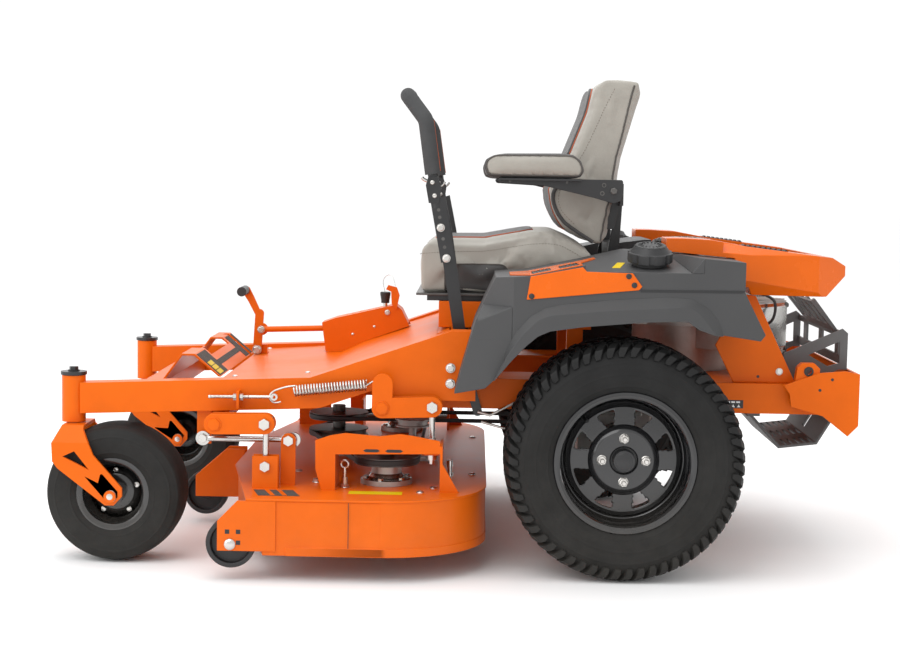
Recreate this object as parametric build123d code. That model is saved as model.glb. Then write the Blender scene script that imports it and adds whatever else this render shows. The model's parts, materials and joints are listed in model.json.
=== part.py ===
from build123d import *

import os
from math import cos, radians, sin

# Zero turn mower with a 1320 mm side-discharge deck, as separate sub-parts.
#
# Machine frame, millimetres: X forward from the rear axle, Y to the operator's left, Z up from the ground.
# Every file is written in the row frame: the machine frame moved so that the origin lies on the ground
# under the middle of the overall length and width.
# ---------------------------------------------------------------- driving dimensions
REAR_TYRE_R = 279.5  # 22 inch drive tyre
REAR_TYRE_W = 241.0
REAR_Y = 509.0  # middle of each drive tyre
CASTER_TYRE_R = 165.0  # 13 inch caster tyre
CASTER_TYRE_W = 150.0
CASTER_X = 1198.0  # caster axle
KINGPIN_X = 1305.0
KINGPIN_Y = 444.0
RAIL_IN, RAIL_OUT = 419.0, 470.0  # front rail, inner and outer face
REAR_RAIL_IN, REAR_RAIL_OUT = 320.0, 371.0
RAIL_WALL = 5.0
FENDER_IN, FENDER_OUT, LIP_OUT = 374.0, 612.0, 626.0
FENDER_WALL = 7.0
CONSOLE_IN = 268.0
DECK_SIDE_Y = 675.0
DECK_BOTTOM, DECK_TOP = 62.0, 192.0
DECK_PLATE = 5.0
DECK_FRONT, FRONT_HALF = 950.0, 215.0  # the deck's nose and half its width
SKIRT_END = 812.0  # where the side skirts meet the slanted front
CHUTE_REAR, CHUTE_FRONT = 430.0, 750.0
BLADE_LENGTH = 457.0
SPINDLE_R = 240.0  # deck corner radius round an outer spindle
SPINDLES = {"left": (555.0, 435.0), "centre": (705.0, 0.0), "right": (555.0, -435.0)}
CHUTE_Y = -960.0
BUMPER_X = -577.0
FRONT_X = CASTER_X + CASTER_TYRE_R
ORIGIN_X = (FRONT_X + BUMPER_X) / 2
ORIGIN_Y = (DECK_SIDE_Y + CHUTE_Y) / 2

# pivots of the deck lift, as (x, z)
FRONT_SHAFT = (954.0, 341.0)
FRONT_ARM_END = (836.0, 343.0)
REAR_SHAFT = (564.0, 382.0)
REAR_ARM_END = (446.0, 386.0)
SPRING_LUG = (563.0, 439.0)
LINK_FRONT = (990.0, 298.0)
LINK_REAR = (785.0, 298.0)
SHAFT_R = 16.0
FRONT_ARM_Y, REAR_ARM_Y = 510.0, 480.0  # inner plate of each clevis arm
HANGER_Y = REAR_ARM_Y + 16
FRONT_HANGER_X = 834.0
RUNNING_GAP = 0.05
PEDAL_PIVOT = (957.0, 438.0)
PEDAL_LINK_PIN = (944.0, 496.0)
PEDAL_Y = -250.0
LEVER_PIVOT = (372.0, 470.0)
LEVER_Y = 340.0
SWING_X, SWING_Z = 382.0, 530.0  # the lever's outward pivot
ENGINE_X = -196.0  # crankshaft
SEAT_HALF = 255.0
ARM_PIVOT = (16.0, 898.0)
LEVER_NOTCH_X = 442.0  # the floor stops here beside the levers
LUG_HOLE = (-455.0, 474.0)
HITCH_X = -540.0


# ---------------------------------------------------------------- helpers
def side_plate(points, y0, y1):
    """A plate seen from the side: an outline of (x, z) points, from y0 to y1."""
    face = make_face(Polyline(*[(x, y0, z) for x, z in points], close=True))
    return extrude(face, amount=y1 - y0, dir=(0, 1, 0))


def top_plate(points, z0, z1):
    """A plate seen from above: an outline of (x, y) points, from z0 to z1."""
    face = make_face(Polyline(*[(x, y, z0) for x, y in points], close=True))
    return extrude(face, amount=z1 - z0, dir=(0, 0, 1))


def cross_plate(points, x0, x1):
    """A plate seen from the front: an outline of (y, z) points, from x0 to x1."""
    face = make_face(Polyline(*[(x0, y, z) for y, z in points], close=True))
    return extrude(face, amount=x1 - x0, dir=(1, 0, 0))


def block(x0, x1, y0, y1, z0, z1):
    """A box between two corners."""
    return Pos((x0 + x1) / 2, (y0 + y1) / 2, (z0 + z1) / 2) * Box(x1 - x0, y1 - y0, z1 - z0)


def rod_y(x, z, r, y0, y1):
    """A round bar along Y."""
    return Pos(x, (y0 + y1) / 2, z) * Rot(90, 0, 0) * Cylinder(r, y1 - y0)


def rod_z(x, y, r, z0, z1):
    """A round bar along Z."""
    return Pos(x, y, (z0 + z1) / 2) * Cylinder(r, z1 - z0)


def rod_x(y, z, r, x0, x1):
    """A round bar along X."""
    return Pos((x0 + x1) / 2, y, z) * Rot(0, 90, 0) * Cylinder(r, x1 - x0)


def bar(start, end, r):
    """A round bar between two points."""
    a, b = Vector(*start), Vector(*end)
    return extrude(Plane(a, z_dir=b - a) * Circle(r), amount=(b - a).length)


def stadium(a, b, r, y0, y1):
    """A plate with round ends of radius r about two (x, z) points."""
    dx, dz = b[0] - a[0], b[1] - a[1]
    length = (dx * dx + dz * dz) ** 0.5
    nx, nz = -dz / length * r, dx / length * r
    web = side_plate([(a[0] + nx, a[1] + nz), (b[0] + nx, b[1] + nz), (b[0] - nx, b[1] - nz),
                      (a[0] - nx, a[1] - nz)],
                     y0, y1)
    return web + rod_y(*a, r, y0, y1) + rod_y(*b, r, y0, y1)


def hex_head(x, z, y0, y1, across=19.0):
    """A hexagon bolt head or nut whose axis runs along Y."""
    return extrude(Plane((x, y0, z), z_dir=(0, 1, 0)) * RegularPolygon(across / 2, 6, major_radius=False),
                   amount=y1 - y0)


def right(shape):
    """The same piece on the operator's right."""
    return mirror(shape, about=Plane.XZ)


def both(shape):
    """The piece and its mirror image."""
    return [shape, right(shape)]


def save(name, *shapes):
    """Writes one node, moved from the machine frame to the row frame."""
    flat = [s for group in shapes for s in (group if isinstance(group, (list, tuple)) else [group])]
    solids = [Pos(-ORIGIN_X, -ORIGIN_Y, 0) * s for shape in flat for s in shape.solids()]
    export_step(Compound(solids), os.path.join("parts", name + ".step"))


# ---------------------------------------------------------------- wheels
def tyre(outer_r, width, bead_r, bead_y, wall):
    """A hollow tyre about Y, open at the bead."""
    half = width / 2
    flank_r = bead_r + 0.5 * (outer_r - bead_r)
    shoulder = (outer_r - 0.085 * outer_r, 0.88 * half)
    tread = (outer_r - 0.02 * outer_r, 0.70 * half)
    inner = bead_y - 1.4 * wall
    outside = [
        Line((bead_r, -bead_y), (bead_r + 13, -bead_y)),
        ThreePointArc((bead_r + 13, -bead_y), (flank_r, -half), (shoulder[0], -shoulder[1])),
        Line((shoulder[0], -shoulder[1]), (tread[0], -tread[1])),
        ThreePointArc((tread[0], -tread[1]), (outer_r, 0), tread),
        Line(tread, shoulder),
        ThreePointArc(shoulder, (flank_r, half), (bead_r + 13, bead_y)),
        Line((bead_r + 13, bead_y), (bead_r, bead_y)),
    ]
    inside_top = (outer_r - 2.0 * wall, 0.78 * half)
    inside = [
        Line((bead_r, bead_y), (bead_r, inner)),
        ThreePointArc((bead_r, inner), (flank_r, half - wall), inside_top),
        ThreePointArc(inside_top, (outer_r - 1.3 * wall, 0), (inside_top[0], -inside_top[1])),
        ThreePointArc((inside_top[0], -inside_top[1]), (flank_r, wall - half), (bead_r, -inner)),
        Line((bead_r, -inner), (bead_r, -bead_y)),
    ]
    return revolve(make_face(outside + inside), Axis.Y, 360)


def rear_rim():
    """The steel drive rim about Y, outboard towards +Y: barrel, and dished disc with windows and stud holes."""
    barrel = make_face(Polyline(
        (165, -106), (165, -101), (152, -101), (152, -70), (138, -55), (138, 28), (152, 48), (152, 101),
        (165, 101),
        (165, 106), (148, 106), (148, 50), (134, 30), (134, -53), (148, -72), (148, -106), close=True))
    disc = make_face(Polyline(
        (31, 66), (68, 66), (82, 54), (122, 50), (133.8, 24), (133.8, 14), (118, 44), (80, 48), (66, 60),
        (31, 60),
        close=True))
    rim = revolve(disc, Axis.Y, 360)
    window = side_plate([(80, -8), (113, -21), (116, 0), (113, 21), (80, 8)], 0, 100)
    stud = rod_y(50.8, 0, 7.5, 0, 100)
    for i in range(8):
        rim -= Rot(0, 22.5 + 45 * i, 0) * window
    for i in range(4):
        rim -= Rot(0, 90 * i, 0) * stud
    return [revolve(barrel, Axis.Y, 360), rim]


def rear_hub():
    """The hub flange with its cap, axle stub and four wheel nuts on their studs."""
    flange = rod_y(0, 0, 66, 46, 59.9) + rod_y(0, 0, 26, 46, 84) + rod_y(0, 0, 17, -274, 46)
    for i in range(4):
        a = radians(90 * i)
        x, z = 50.8 * cos(a), 50.8 * sin(a)
        flange += rod_y(x, z, 6, 46, 86) + hex_head(x, z, 66.1, 78)
    return flange


def caster_rim():
    """The small pressed rim about Y, with its hub tube bored for the axle bolt."""
    barrel = make_face(Polyline(
        (88, -66), (88, -61), (75, -61), (75, -40), (66, -30), (66, 30), (75, 40), (75, 61), (88, 61), (88,
                                                                                                        66),
        (72, 66), (72, 42), (62, 32), (62, -32), (72, -42), (72, -66), close=True))
    web = make_face(Polyline((24, 34), (40, 34), (64, 12), (64, 6), (38, 29), (24, 29), close=True))
    hub = rod_y(0, 0, 26, -79, 79) - rod_y(0, 0, 8 + RUNNING_GAP, -90, 90)
    return revolve(barrel, Axis.Y, 360) + revolve(web, Axis.Y, 360) + hub


def caster_fork():
    """The caster fork at its kingpin: bent yoke, kingpin with dust cap and nut, and the axle bolt."""
    outer = [(-92, 130), (-92, 290), (-58, 327), (58, 327), (92, 290), (92, 130)]
    inner = [(-84, 130), (-84, 286), (-54, 319), (54, 319), (84, 286), (84, 130)]
    yoke = cross_plate(outer, 1160, 1345) - cross_plate(inner, 1160, 1345)
    leg = [(1319, 328), (1337, 288), (1335, 245), (1323, 229), (1211, 143), (1190, 143), (1171, 164),
           (1171, 184),
           (1239, 261), (1250, 288), (1268, 317), (1268, 328)]
    yoke &= side_plate(leg, -100, 100)
    yoke -= side_plate([(1311, 257), (1283, 270), (1248, 226)], -100, 100)
    yoke -= rod_y(CASTER_X, CASTER_TYRE_R, 8, -100, 100)
    pin = rod_z(KINGPIN_X, 0, 14, 327, 452) + rod_z(KINGPIN_X, 0, 31, 441, 449)
    pin += extrude(Plane((KINGPIN_X, 0, 452)) * RegularPolygon(11, 6), amount=8)
    bolt = rod_y(CASTER_X, CASTER_TYRE_R, 8, -92, 92)
    for side in (-1, 1):
        head = Pos(CASTER_X, side * 92, CASTER_TYRE_R) * Rot(-90 * side, 0, 0) * Cylinder(
            14, 9, align=(Align.CENTER, Align.CENTER, Align.MIN))
        bolt += head
    return [Pos(0, KINGPIN_Y, 0) * s for s in (yoke, pin, bolt)]


def make_wheels():
    rear = tyre(REAR_TYRE_R, REAR_TYRE_W, 152.2, 100.8, 13)
    caster = Pos(CASTER_X, KINGPIN_Y, CASTER_TYRE_R) * tyre(CASTER_TYRE_R, CASTER_TYRE_W, 75.2, 60.8, 9)
    rear_at = Pos(0, REAR_Y, REAR_TYRE_R)
    rim = [rear_at * s for s in rear_rim()]
    hub = rear_at * rear_hub()
    front_rim = Pos(CASTER_X, KINGPIN_Y, CASTER_TYRE_R) * caster_rim()
    fork = caster_fork()
    for name, place in (("left", lambda s: s), ("right", right)):
        save("rear_tyre_" + name, place(rear_at * rear))
        save("rear_rim_" + name, [place(s) for s in rim], place(hub))
        save("caster_tyre_" + name, place(caster))
        save("caster_rim_" + name, place(front_rim))
        save("caster_fork_" + name, [place(s) for s in fork])


# ---------------------------------------------------------------- frame
def hollow(outline, y0, y1, wall, open_end):
    """A box section with a side outline, its cavity run out through open_end, a block."""
    face = make_face(Polyline(*[(x, 0, z) for x, z in outline], close=True))
    core = extrude(offset(face, amount=-wall), amount=y1 - y0 - 2 * wall, dir=(0, 1, 0))
    return side_plate(outline, y0, y1) - Pos(0, y0 + wall, 0) * core - open_end


def frame_rail():
    """The left rail: kingpin tube, front rail, raised side box, rear rail and the welded brackets."""
    outline = [(1285, 423.5), (738, 446), (690, 463), (403, 563), (345, 563), (345, 397), (520, 397),
               (583, 420),
               (642, 399), (713, 374), (784, 370), (1285, 350.5)]
    front = hollow(outline, RAIL_IN, RAIL_OUT, RAIL_WALL, block(340, 352, RAIL_IN + 8, RAIL_OUT - 8, 405,
                                                                555))
    tube = rod_z(KINGPIN_X, KINGPIN_Y, 28, 329, 440)
    rear = hollow([(-560, 367), (520, 367), (520, 440), (-560, 440)], REAR_RAIL_IN, REAR_RAIL_OUT,
                  RAIL_WALL,
                  block(510, 530, REAR_RAIL_IN + 8, REAR_RAIL_OUT - 8, 375, 432))
    outrigger = block(402, 512, REAR_RAIL_OUT, RAIL_IN, 400, 437)
    tabs = block(932, 976, 436, 446, 341, 366) + rod_y(*FRONT_SHAFT, 22, 436, 446)
    tabs += block(541, 587, 436, 446, 382, 422) + rod_y(*REAR_SHAFT, 22, 436, 446)
    tabs += block(974, 1008, 446, 453, 281, 364)
    tabs += block(902, 908, 466, 500, 372, 414)
    lever_ears = block(352, 392, 322, 328, 438, 488) + block(352, 392, 352, 358, 438, 488)
    rail = front + tube + rear + outrigger + tabs + lever_ears
    rail -= rod_z(KINGPIN_X, KINGPIN_Y, 14 + RUNNING_GAP, 320, 450)
    for point in (FRONT_SHAFT, REAR_SHAFT):
        rail -= rod_y(*point, SHAFT_R + RUNNING_GAP, 430, 450)
    rail -= rod_y(*LEVER_PIVOT, 10 + RUNNING_GAP, 318, 362)
    rail -= rod_x(490, 400, 5.2, 895, 915)
    return rail + rod_y(*LINK_FRONT, 8, 446, 481) + hex_head(*LINK_FRONT, 481, 489, 19)


def frame_crossmembers():
    """Tubes and plates that join the two rails."""
    front = block(1130, 1180, -RAIL_IN, RAIL_IN, 358, 404)
    front -= block(1134, 1176, -RAIL_IN - 1, RAIL_IN + 1, 362, 400)
    middle = block(455, 505, -REAR_RAIL_IN, REAR_RAIL_IN, 385, 435)
    middle -= block(459, 501, -REAR_RAIL_IN - 1, REAR_RAIL_IN + 1, 389, 431)
    engine_plate = block(-420, 30, -REAR_RAIL_IN, REAR_RAIL_IN, 432, 440)
    engine_plate -= rod_z(ENGINE_X, 0, 60, 420, 450)
    return [front, middle, engine_plate]


def floor_pan():
    """The folded floor: flat under the feet, then rising to the seat."""
    top = [(968, 424), (717, 441), (655, 470), (412, 552), (412, 548), (654, 466), (716, 437), (968, 420)]
    pan = side_plate(top, -RAIL_IN + 0.5, RAIL_IN - 0.5)
    back = pan & block(400, LEVER_NOTCH_X, -300, 300, 500, 600)
    front = pan & block(LEVER_NOTCH_X, 980, -RAIL_IN, RAIL_IN, 400, 600)
    return [front, back]


def footrest_plate():
    """The front foot plate, folded like a roof, with a notch in the ridge."""
    roof = [(1128, 404), (1073, 480), (1040, 480), (975, 424.2), (981, 424.2), (1042, 475), (1071, 475),
            (1122, 404)]
    plate = side_plate(roof, -300, 300) - block(1022, 1110, -150, 150, 455, 490)
    return plate - block(960, 1052, PEDAL_Y - 16, PEDAL_Y + 16, 400, 500)


def seat_platform():
    """The box under the seat that carries the seat hinge."""
    shell = block(60, 440, -250, 250, 553, 618) - block(64, 436, -246, 246, 540, 614)
    legs = [block(378, 408, s * 235 - 15, s * 235 + 15, 440, 553) for s in (-1, 1)]
    legs += [block(80, 120, s * 235 - 15, s * 235 + 15, 440, 553) for s in (-1, 1)]
    for leg in legs:
        shell += leg
    for s in (-1, 1):
        shell += block(70, 420, s * 265 - 55, s * 265 + 55, 434, 440)
    return shell


def hood_struts():
    """The sloping orange plates between the rear rails and the hood."""
    outline = [(-235, 530), (-303, 655), (-330, 651), (-432, 440), (-281, 440)]
    return side_plate(outline, 345, 350)


def rear_bumper():
    """The wrap-round rear bumper with its side wings, tow plate and accessory lugs."""
    wing = side_plate([(-395, 440), (-410, 419), (-414, 389), (-491, 367), (-552, 319), (BUMPER_X, 345),
                       (BUMPER_X, 470),
                       (-542, 477), (-478, 471)], 394, 400)
    gusset = block(-520, -440, 371, 394, 380, 386) + block(-520, -440, 371, 394, 420, 426)
    lug = side_plate([(-422, 440), (-428, 484), (-439, 494), (-468, 494), (-482, 481), (-482, 440)], 371.2,
                     394)
    lug -= rod_y(*LUG_HOLE, 9, 360, 400)
    back = block(BUMPER_X, BUMPER_X + 7, -394, 394, 345, 470)
    back -= block(BUMPER_X - 1, BUMPER_X + 8, -120, 120, 395, 440)
    tow = block(BUMPER_X + 7, -510, -60, 60, 350, 358) - rod_z(HITCH_X, 0, 10, 340, 370)
    bumper = back + tow
    for piece in (wing, gusset, lug):
        bumper += piece
        bumper += right(piece)
    return bumper


def engine_guard():
    """The grey tail guard: two cut-out side plates joined by a rear plate and an upper mesh plate."""
    side = side_plate([(-411, 462), (-412, 508), (-554, 571), (-567, 560), (-567, 470.5), (-546, 470.5),
                       (-530, 462)],
                      294, 300)
    side -= side_plate([(-472, 505), (-548, 540), (-548, 486), (-520, 478)], 290, 310)
    guard = side + right(side)
    guard += block(-567, -561, -294, 294, 478, 500) + block(-567, -561, -294, 294, 545, 560)
    for y in (-200, 0, 200):
        guard += block(-567, -561, y - 20, y + 20, 500, 545)
    upper = side_plate([(-496, 630), (-508, 636), (-566, 560), (-561, 553)], -180, 180)
    for y in (-130, -45, 45, 130):
        upper -= side_plate([(-506, 640), (-490, 615), (-540, 568), (-566, 580)], y - 28, y + 28)
    foot = block(-530, -411, 294, 300, 440, 463)
    guard += upper + foot + right(foot)
    return guard


def rear_step():
    """The slotted grey plate hung below the tail."""
    step = side_plate([(-326, 364), (-424, 256), (-521, 268), (-566, 344), (-558, 344), (-517, 274.5),
                       (-428, 263.5),
                       (-334, 364)], -200, 200)
    for i in range(5):
        for y in (-150, 0, 150):
            x = -446 - 16 * i
            step -= block(x - 3, x + 3, y - 45, y + 45, 250, 290)
    step -= block(HITCH_X - 15, HITCH_X + 15, -15, 15, 255, 350)
    strap = block(-350, -318, 180, 345, 357, 366.8)
    return step + strap + right(strap)


# ---------------------------------------------------------------- body work
def fender():
    """The left console, a hollow moulding over the drive wheel that also holds the fuel tank."""
    arch = [(394, 432), (324, 445), (304, 464), (265, 511), (233, 545), (206, 568), (179, 580), (105, 591),
            (-33, 604), (-132, 608), (-143, 600), (-158, 589), (-190, 580), (-300, 564)]
    crown = [(-120, 754), (-8, 757), (55, 742), (107, 729), (225, 704), (303, 698)]
    outline = arch + [(-311, 578), (-262, 673), (-262, 742)] + crown + [(327, 647), (349, 596), (377, 497)]
    body = side_plate(outline, FENDER_IN, FENDER_OUT)
    body += side_plate([(-139, 694)] + crown + [(306, 684), (10, 694)], CONSOLE_IN, FENDER_IN)
    lip_top = [(-166, 617), (-147, 635), (-124, 639), (-78, 636), (60, 627), (180, 615), (207, 604),
               (243, 568),
               (275, 523), (292, 488)]
    body += side_plate(arch[2:13] + lip_top, FENDER_OUT - FENDER_WALL, LIP_OUT)
    body -= cap_scoop(0) + console_corner(0)
    core = side_plate(outline, FENDER_IN + FENDER_WALL, FENDER_OUT - FENDER_WALL)
    face = make_face(Polyline(*[(x, 0, z) for x, z in outline], close=True))
    core &= extrude(offset(face, amount=-FENDER_WALL), amount=2 * FENDER_OUT, dir=(0, 1, 0))
    core -= cap_scoop(FENDER_WALL) + console_corner(FENDER_WALL)
    under = [(x, z - 12) for x, z in arch[1:-1]]
    over = [(x, z + 16) for x, z in reversed(arch[1:-1])]
    mouth = side_plate(under + over, FENDER_IN + FENDER_WALL, FENDER_OUT - FENDER_WALL)
    rail_notch = block(338, 405, RAIL_IN - 2, RAIL_OUT + 2, 392, 566)
    lever_notch = block(316, 400, 373, 387, 425, 506)
    return body - core - mouth - rail_notch - lever_notch


def cap_scoop(depth):
    """The sloping shoulder cut into the console's top round the fuel cap, depth deeper."""
    slope = cross_plate([(398, 757.3 - depth), (650, 708.7 - depth), (650, 800), (398, 800)], -240,
                        101 + depth)
    return slope & top_plate([(-95, 398), (-181.5, 650), (101 + depth, 650), (101 + depth, 398)], 680, 800)


def console_corner(depth):
    """The cut-off front outer corner of the console, depth deeper."""
    return top_plate([(345, 545 - depth), (262 - depth, 613), (262 - depth, 640), (345, 640)], 560, 760)


def fender_panel():
    """The orange trim plates on the console: one on its flank, one with two vents on its top."""
    flank = side_plate([(225, 703), (233, 650), (-21, 676), (-28, 684), (-6, 714), (98, 716), (107, 726)],
                       FENDER_OUT + 0.3, FENDER_OUT + 3.3)
    top = side_plate([(226, 704.1), (107, 729.3), (107, 731.6), (226, 706.4)], 420, 606)
    for x in (113, 176):
        top -= block(x, x + 44, 470, 585, 700, 740)
    return [flank, top]


def fuel_cap():
    """The knurled cap on the console's shoulder, square to the slope."""
    cap = rod_z(0, 0, 40, 0.3, 10) + rod_z(0, 0, 52, 10, 32) + extrude(Pos(0, 0, 32) * Circle(46),
                                                                       amount=16, taper=35)
    for i in range(8):
        a = radians(45 * i)
        cap -= rod_z(58 * cos(a), 58 * sin(a), 10, 5, 50)
    return Pos(-51, 540, 729.9) * Rot(-10.92, 0, 0) * cap


def engine_hood():
    """The faceted orange hood, open in the middle round the engine screen."""
    outer = [(-100, 440), (-300, 430), (-470, 400), (-548, 330), (-548, -330), (-470, -400), (-300, -430),
             (-100, -440)]
    inner = [(-60, 330), (-300, 320), (-440, 300), (-500, 250), (-500, -250), (-440, -300), (-300, -320),
             (-60, -330)]
    ring = top_plate(outer, 640, 790) - top_plate(inner, 630, 800)
    keep = side_plate([(-263.5, 744.5), (-120, 757), (-100, 757), (-100, 792), (-210, 787), (-296, 772),
                       (-509, 747),
                       (-548, 726), (-548, 702), (-494, 654), (-312, 656), (-300, 676), (-263.5, 676)],
                       -450, 450)
    hood = ring & keep
    shoulder = Pos(-296, 0, 772) * Rot(0, -6.7, 0) * cross_plate([(400, 1), (442, -27), (442, 60),
                                                                  (400, 60)], -290, 60)
    hood -= shoulder
    hood -= right(shoulder)
    flare = cross_plate([(440, 640), (372, 640), (440, 700)], -560, -263)
    hood -= flare
    hood -= right(flare)
    return hood


# ---------------------------------------------------------------- engine and drive
def engine_block():
    """The vertical-shaft V-twin: crankcase, cooling shroud, two cylinders, oil sump and air cleaner box."""
    case = rod_z(ENGINE_X, 0, 130, 440, 560) + rod_z(ENGINE_X, 0, 175, 560, 690) + rod_z(ENGINE_X, 0, 110,
                                                                                         690, 738)
    for s in (-1, 1):
        cylinder = Pos(ENGINE_X, 0, 565) * Rot(0, 0, s * 48) * Pos(-190, 0, 0) * Box(190, 140, 130)
        case += cylinder
    case += block(-110, -62, -140, 140, 560, 650)
    case += side_plate([(-96, 702), (9, 702), (9, 764), (-78, 776), (-96, 776)], -140, 140)
    case -= rod_z(ENGINE_X, 0, 92, 560, 750)
    case -= rod_z(ENGINE_X, 0, 22, 430, 570)
    return case


def crankshaft_group():
    """What turns with the crankshaft: shaft, flywheel fan, debris screen and the drive pulley."""
    shaft = rod_z(ENGINE_X, 0, 20, 262, 742) + rod_z(ENGINE_X, 0, 86, 640, 735)
    dome = Pos(ENGINE_X, 0, 741) * (extrude(Plane.XY * Circle(95), amount=30, taper=25))
    clutch = rod_z(ENGINE_X, 0, 58, 303, 400)
    return shaft + dome + pulley(ENGINE_X, 0, 285, 303, 78) + clutch


def muffler():
    """The flat silencer across the tail, between the rails."""
    can = rod_y(-512, 400, 28, -150, 150) + rod_y(-458, 400, 28, -150, 150)
    can += block(-512, -458, -150, 150, 372, 428)
    return can + rod_x(100, 400, 14, -550, -512)


def hydro():
    """The left hydrostatic transaxle: case, pump, cooling fan and axle bore."""
    case = block(-90, 90, 190, 290, 210, 360) + rod_y(0, REAR_TYRE_R, 44, 290, 316)
    case += rod_z(20, 170, 60, 290, 360) + rod_z(20, 170, 14, 360, 420) + rod_z(20, 170, 70, 385, 395)
    case += block(-60, 60, 262, 366, 355, 366.8)
    case -= rod_y(0, REAR_TYRE_R, 17 + RUNNING_GAP, 230, 320)
    return case


# ---------------------------------------------------------------- deck
def deck_outline(inset=0.0):
    """The deck's plan as a face at Z 0, moved in by inset."""
    y, r = DECK_SIDE_Y, SPINDLE_R
    x_rear = SPINDLES["left"][0] - r
    xs = SPINDLES["left"][0]
    k = sin(radians(45)) * r
    edges = [
        Line((860, y), (xs, y)),
        ThreePointArc((xs, y), (xs - k, y - r + k), (x_rear, y - r)),
        Line((x_rear, y - r), (x_rear, r - y)),
        ThreePointArc((x_rear, r - y), (xs - k, r - y - k), (xs, -y)),
        Polyline((xs, -y), (860, -y), (DECK_FRONT, -FRONT_HALF), (DECK_FRONT, FRONT_HALF), (860, y)),
    ]
    face = make_face(edges)
    return offset(face, amount=-inset) if inset else face


def skirt_regions():
    """Plan outlines that part the skirt into its welded pieces: sides, front, rear and the curved corners."""
    x, y = SPINDLES["left"]
    far, end, edge = DECK_SIDE_Y + 25, DECK_FRONT + 50, FRONT_HALF
    regions = [
        [(x, 500), (SKIRT_END, 500), (SKIRT_END, far), (x, far)],
        [(CHUTE_FRONT, -500), (SKIRT_END, -500), (SKIRT_END, -far), (CHUTE_FRONT, -far)],
        [(SKIRT_END, edge), (end, edge), (end, far), (SKIRT_END, far)],
        [(SKIRT_END, -edge), (end, -edge), (end, -far), (SKIRT_END, -far)],
        [(SKIRT_END, -edge), (end, -edge), (end, edge), (SKIRT_END, edge)],
        [(x - 260, -y), (x - 150, -y), (x - 150, y), (x - 260, y)],
    ]
    reach, step = SPINDLE_R + 60, radians(22.5)
    for side in (1, -1):
        for i in range(4):
            a0, a1 = radians(90) + i * step, radians(90) + (i + 1) * step
            regions.append([(x, side * y), (x + reach * cos(a0), side * (y + reach * sin(a0))),
                            (x + reach * cos(a1), side * (y + reach * sin(a1)))])
    return regions


def deck_shell():
    """The fabricated deck: top plate, skirt pieces with a foot doubler, and the roller brackets."""
    under = DECK_TOP - DECK_PLATE
    top = extrude(Pos(0, 0, under) * deck_outline(), amount=DECK_PLATE)
    for x, y in SPINDLES.values():
        top -= rod_z(x, y, 30, 180, 200)
    nose_x = DECK_FRONT - 8
    setback = top_plate([(SKIRT_END + 3, 700), (nose_x, FRONT_HALF), (nose_x, -FRONT_HALF),
                         (SKIRT_END + 3, -700),
                         (1000, -700), (1000, 700)], 0, under)
    outer = extrude(Pos(0, 0, DECK_BOTTOM) * deck_outline(3), amount=under - DECK_BOTTOM) - setback
    band = extrude(Pos(0, 0, DECK_BOTTOM) * deck_outline(), amount=20) - setback - block(770, 990, -700,
                                                                                         700, 50, 90)
    inside = extrude(Pos(0, 0, DECK_BOTTOM - 5) * deck_outline(7), amount=DECK_TOP - DECK_BOTTOM)
    skirt = outer + band - (inside - Pos(-4.5, 0, 0) * setback)
    skirt -= block(CHUTE_REAR, CHUTE_FRONT, -700, -640, 50, under)
    pieces = [skirt & top_plate(region, 50, under) for region in skirt_regions()]
    bracket = side_plate([(925, 72), (925, 140), (880, 186.8), (815.3, 186.8), (815.3, 72)], 667.5, 672)
    nose = side_plate([(1082, 72), (1082, 128), (1000, 200), (952, 200), (952, 186.8),
                       (nose_x + 0.2, 186.8),
                       (nose_x + 0.2, 72)], 24, 29)
    return [top] + [p for p in pieces if p and p.solids()] + both(bracket) + both(nose)


def scalp_wheel(x, y, z):
    """An anti-scalp roller, bored for its bolt and dished on both faces."""
    wheel = rod_y(x, z, 57, y - 20, y + 20) - rod_y(x, z, 9, y - 21, y + 21)
    for side in (-1, 1):
        wheel -= rod_y(x, z, 46, y + side * 14 - 8, y + side * 14 + 8) - rod_y(x, z, 18, y - 30, y + 30)
    return wheel


def deck_brackets():
    """Welded deck fittings: spindle guards, hanger clevises, link ears and roller bolts."""
    guard = side_plate([(716, 309), (681, 321), (646, 327), (565, 321), (518, 327), (488, 323), (425, 312),
                        (425, 282), (669, 277), (669, DECK_TOP), (701, DECK_TOP), (715, 241)], 545, 551)
    guard += block(500, 640, 420, 546, 291, 295) + block(500, 640, 540, 551, 285, 300)
    guard += block(669, 675, 440, 551, DECK_TOP, 277)
    guard += block(419, 425, 440, 551, DECK_TOP, 300) + block(425, 470, 510, 546, 284, 300)
    guard += block(428, 464, 478, 512, 272, 300) - rod_z(446, HANGER_Y, 7.5, 260, 320)
    guard += side_plate([(380, DECK_TOP), (421, DECK_TOP), (421, 262)], 545, 551)
    x = FRONT_HANGER_X
    clevis = block(x - 30, x + 30, FRONT_ARM_Y, FRONT_ARM_Y + 6, DECK_TOP, 268)
    clevis += block(x - 30, x + 30, FRONT_ARM_Y + 26, FRONT_ARM_Y + 32, DECK_TOP, 268)
    clevis += rod_y(x, 244, 8, FRONT_ARM_Y, FRONT_ARM_Y + 36)
    clevis += hex_head(x, 244, FRONT_ARM_Y + 32, FRONT_ARM_Y + 40, 22)
    ear = block(768, 803, 486.5, 492, DECK_TOP, 298) + rod_y(*LINK_REAR, 17.5, 486.5, 492)
    ear += rod_y(*LINK_REAR, 8, 470.5, 488) + hex_head(*LINK_REAR, 492, 500, 22)
    bolt = rod_y(896, 87, 8.9, 618, 667.3) + rod_y(896, 87, 14, 672.2, 675)
    out = []
    for piece in (guard, clevis, ear, bolt):
        out += both(piece)
    out.append(rod_y(1056, 80, 8.9, -23.8, 23.8))
    return out


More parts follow.
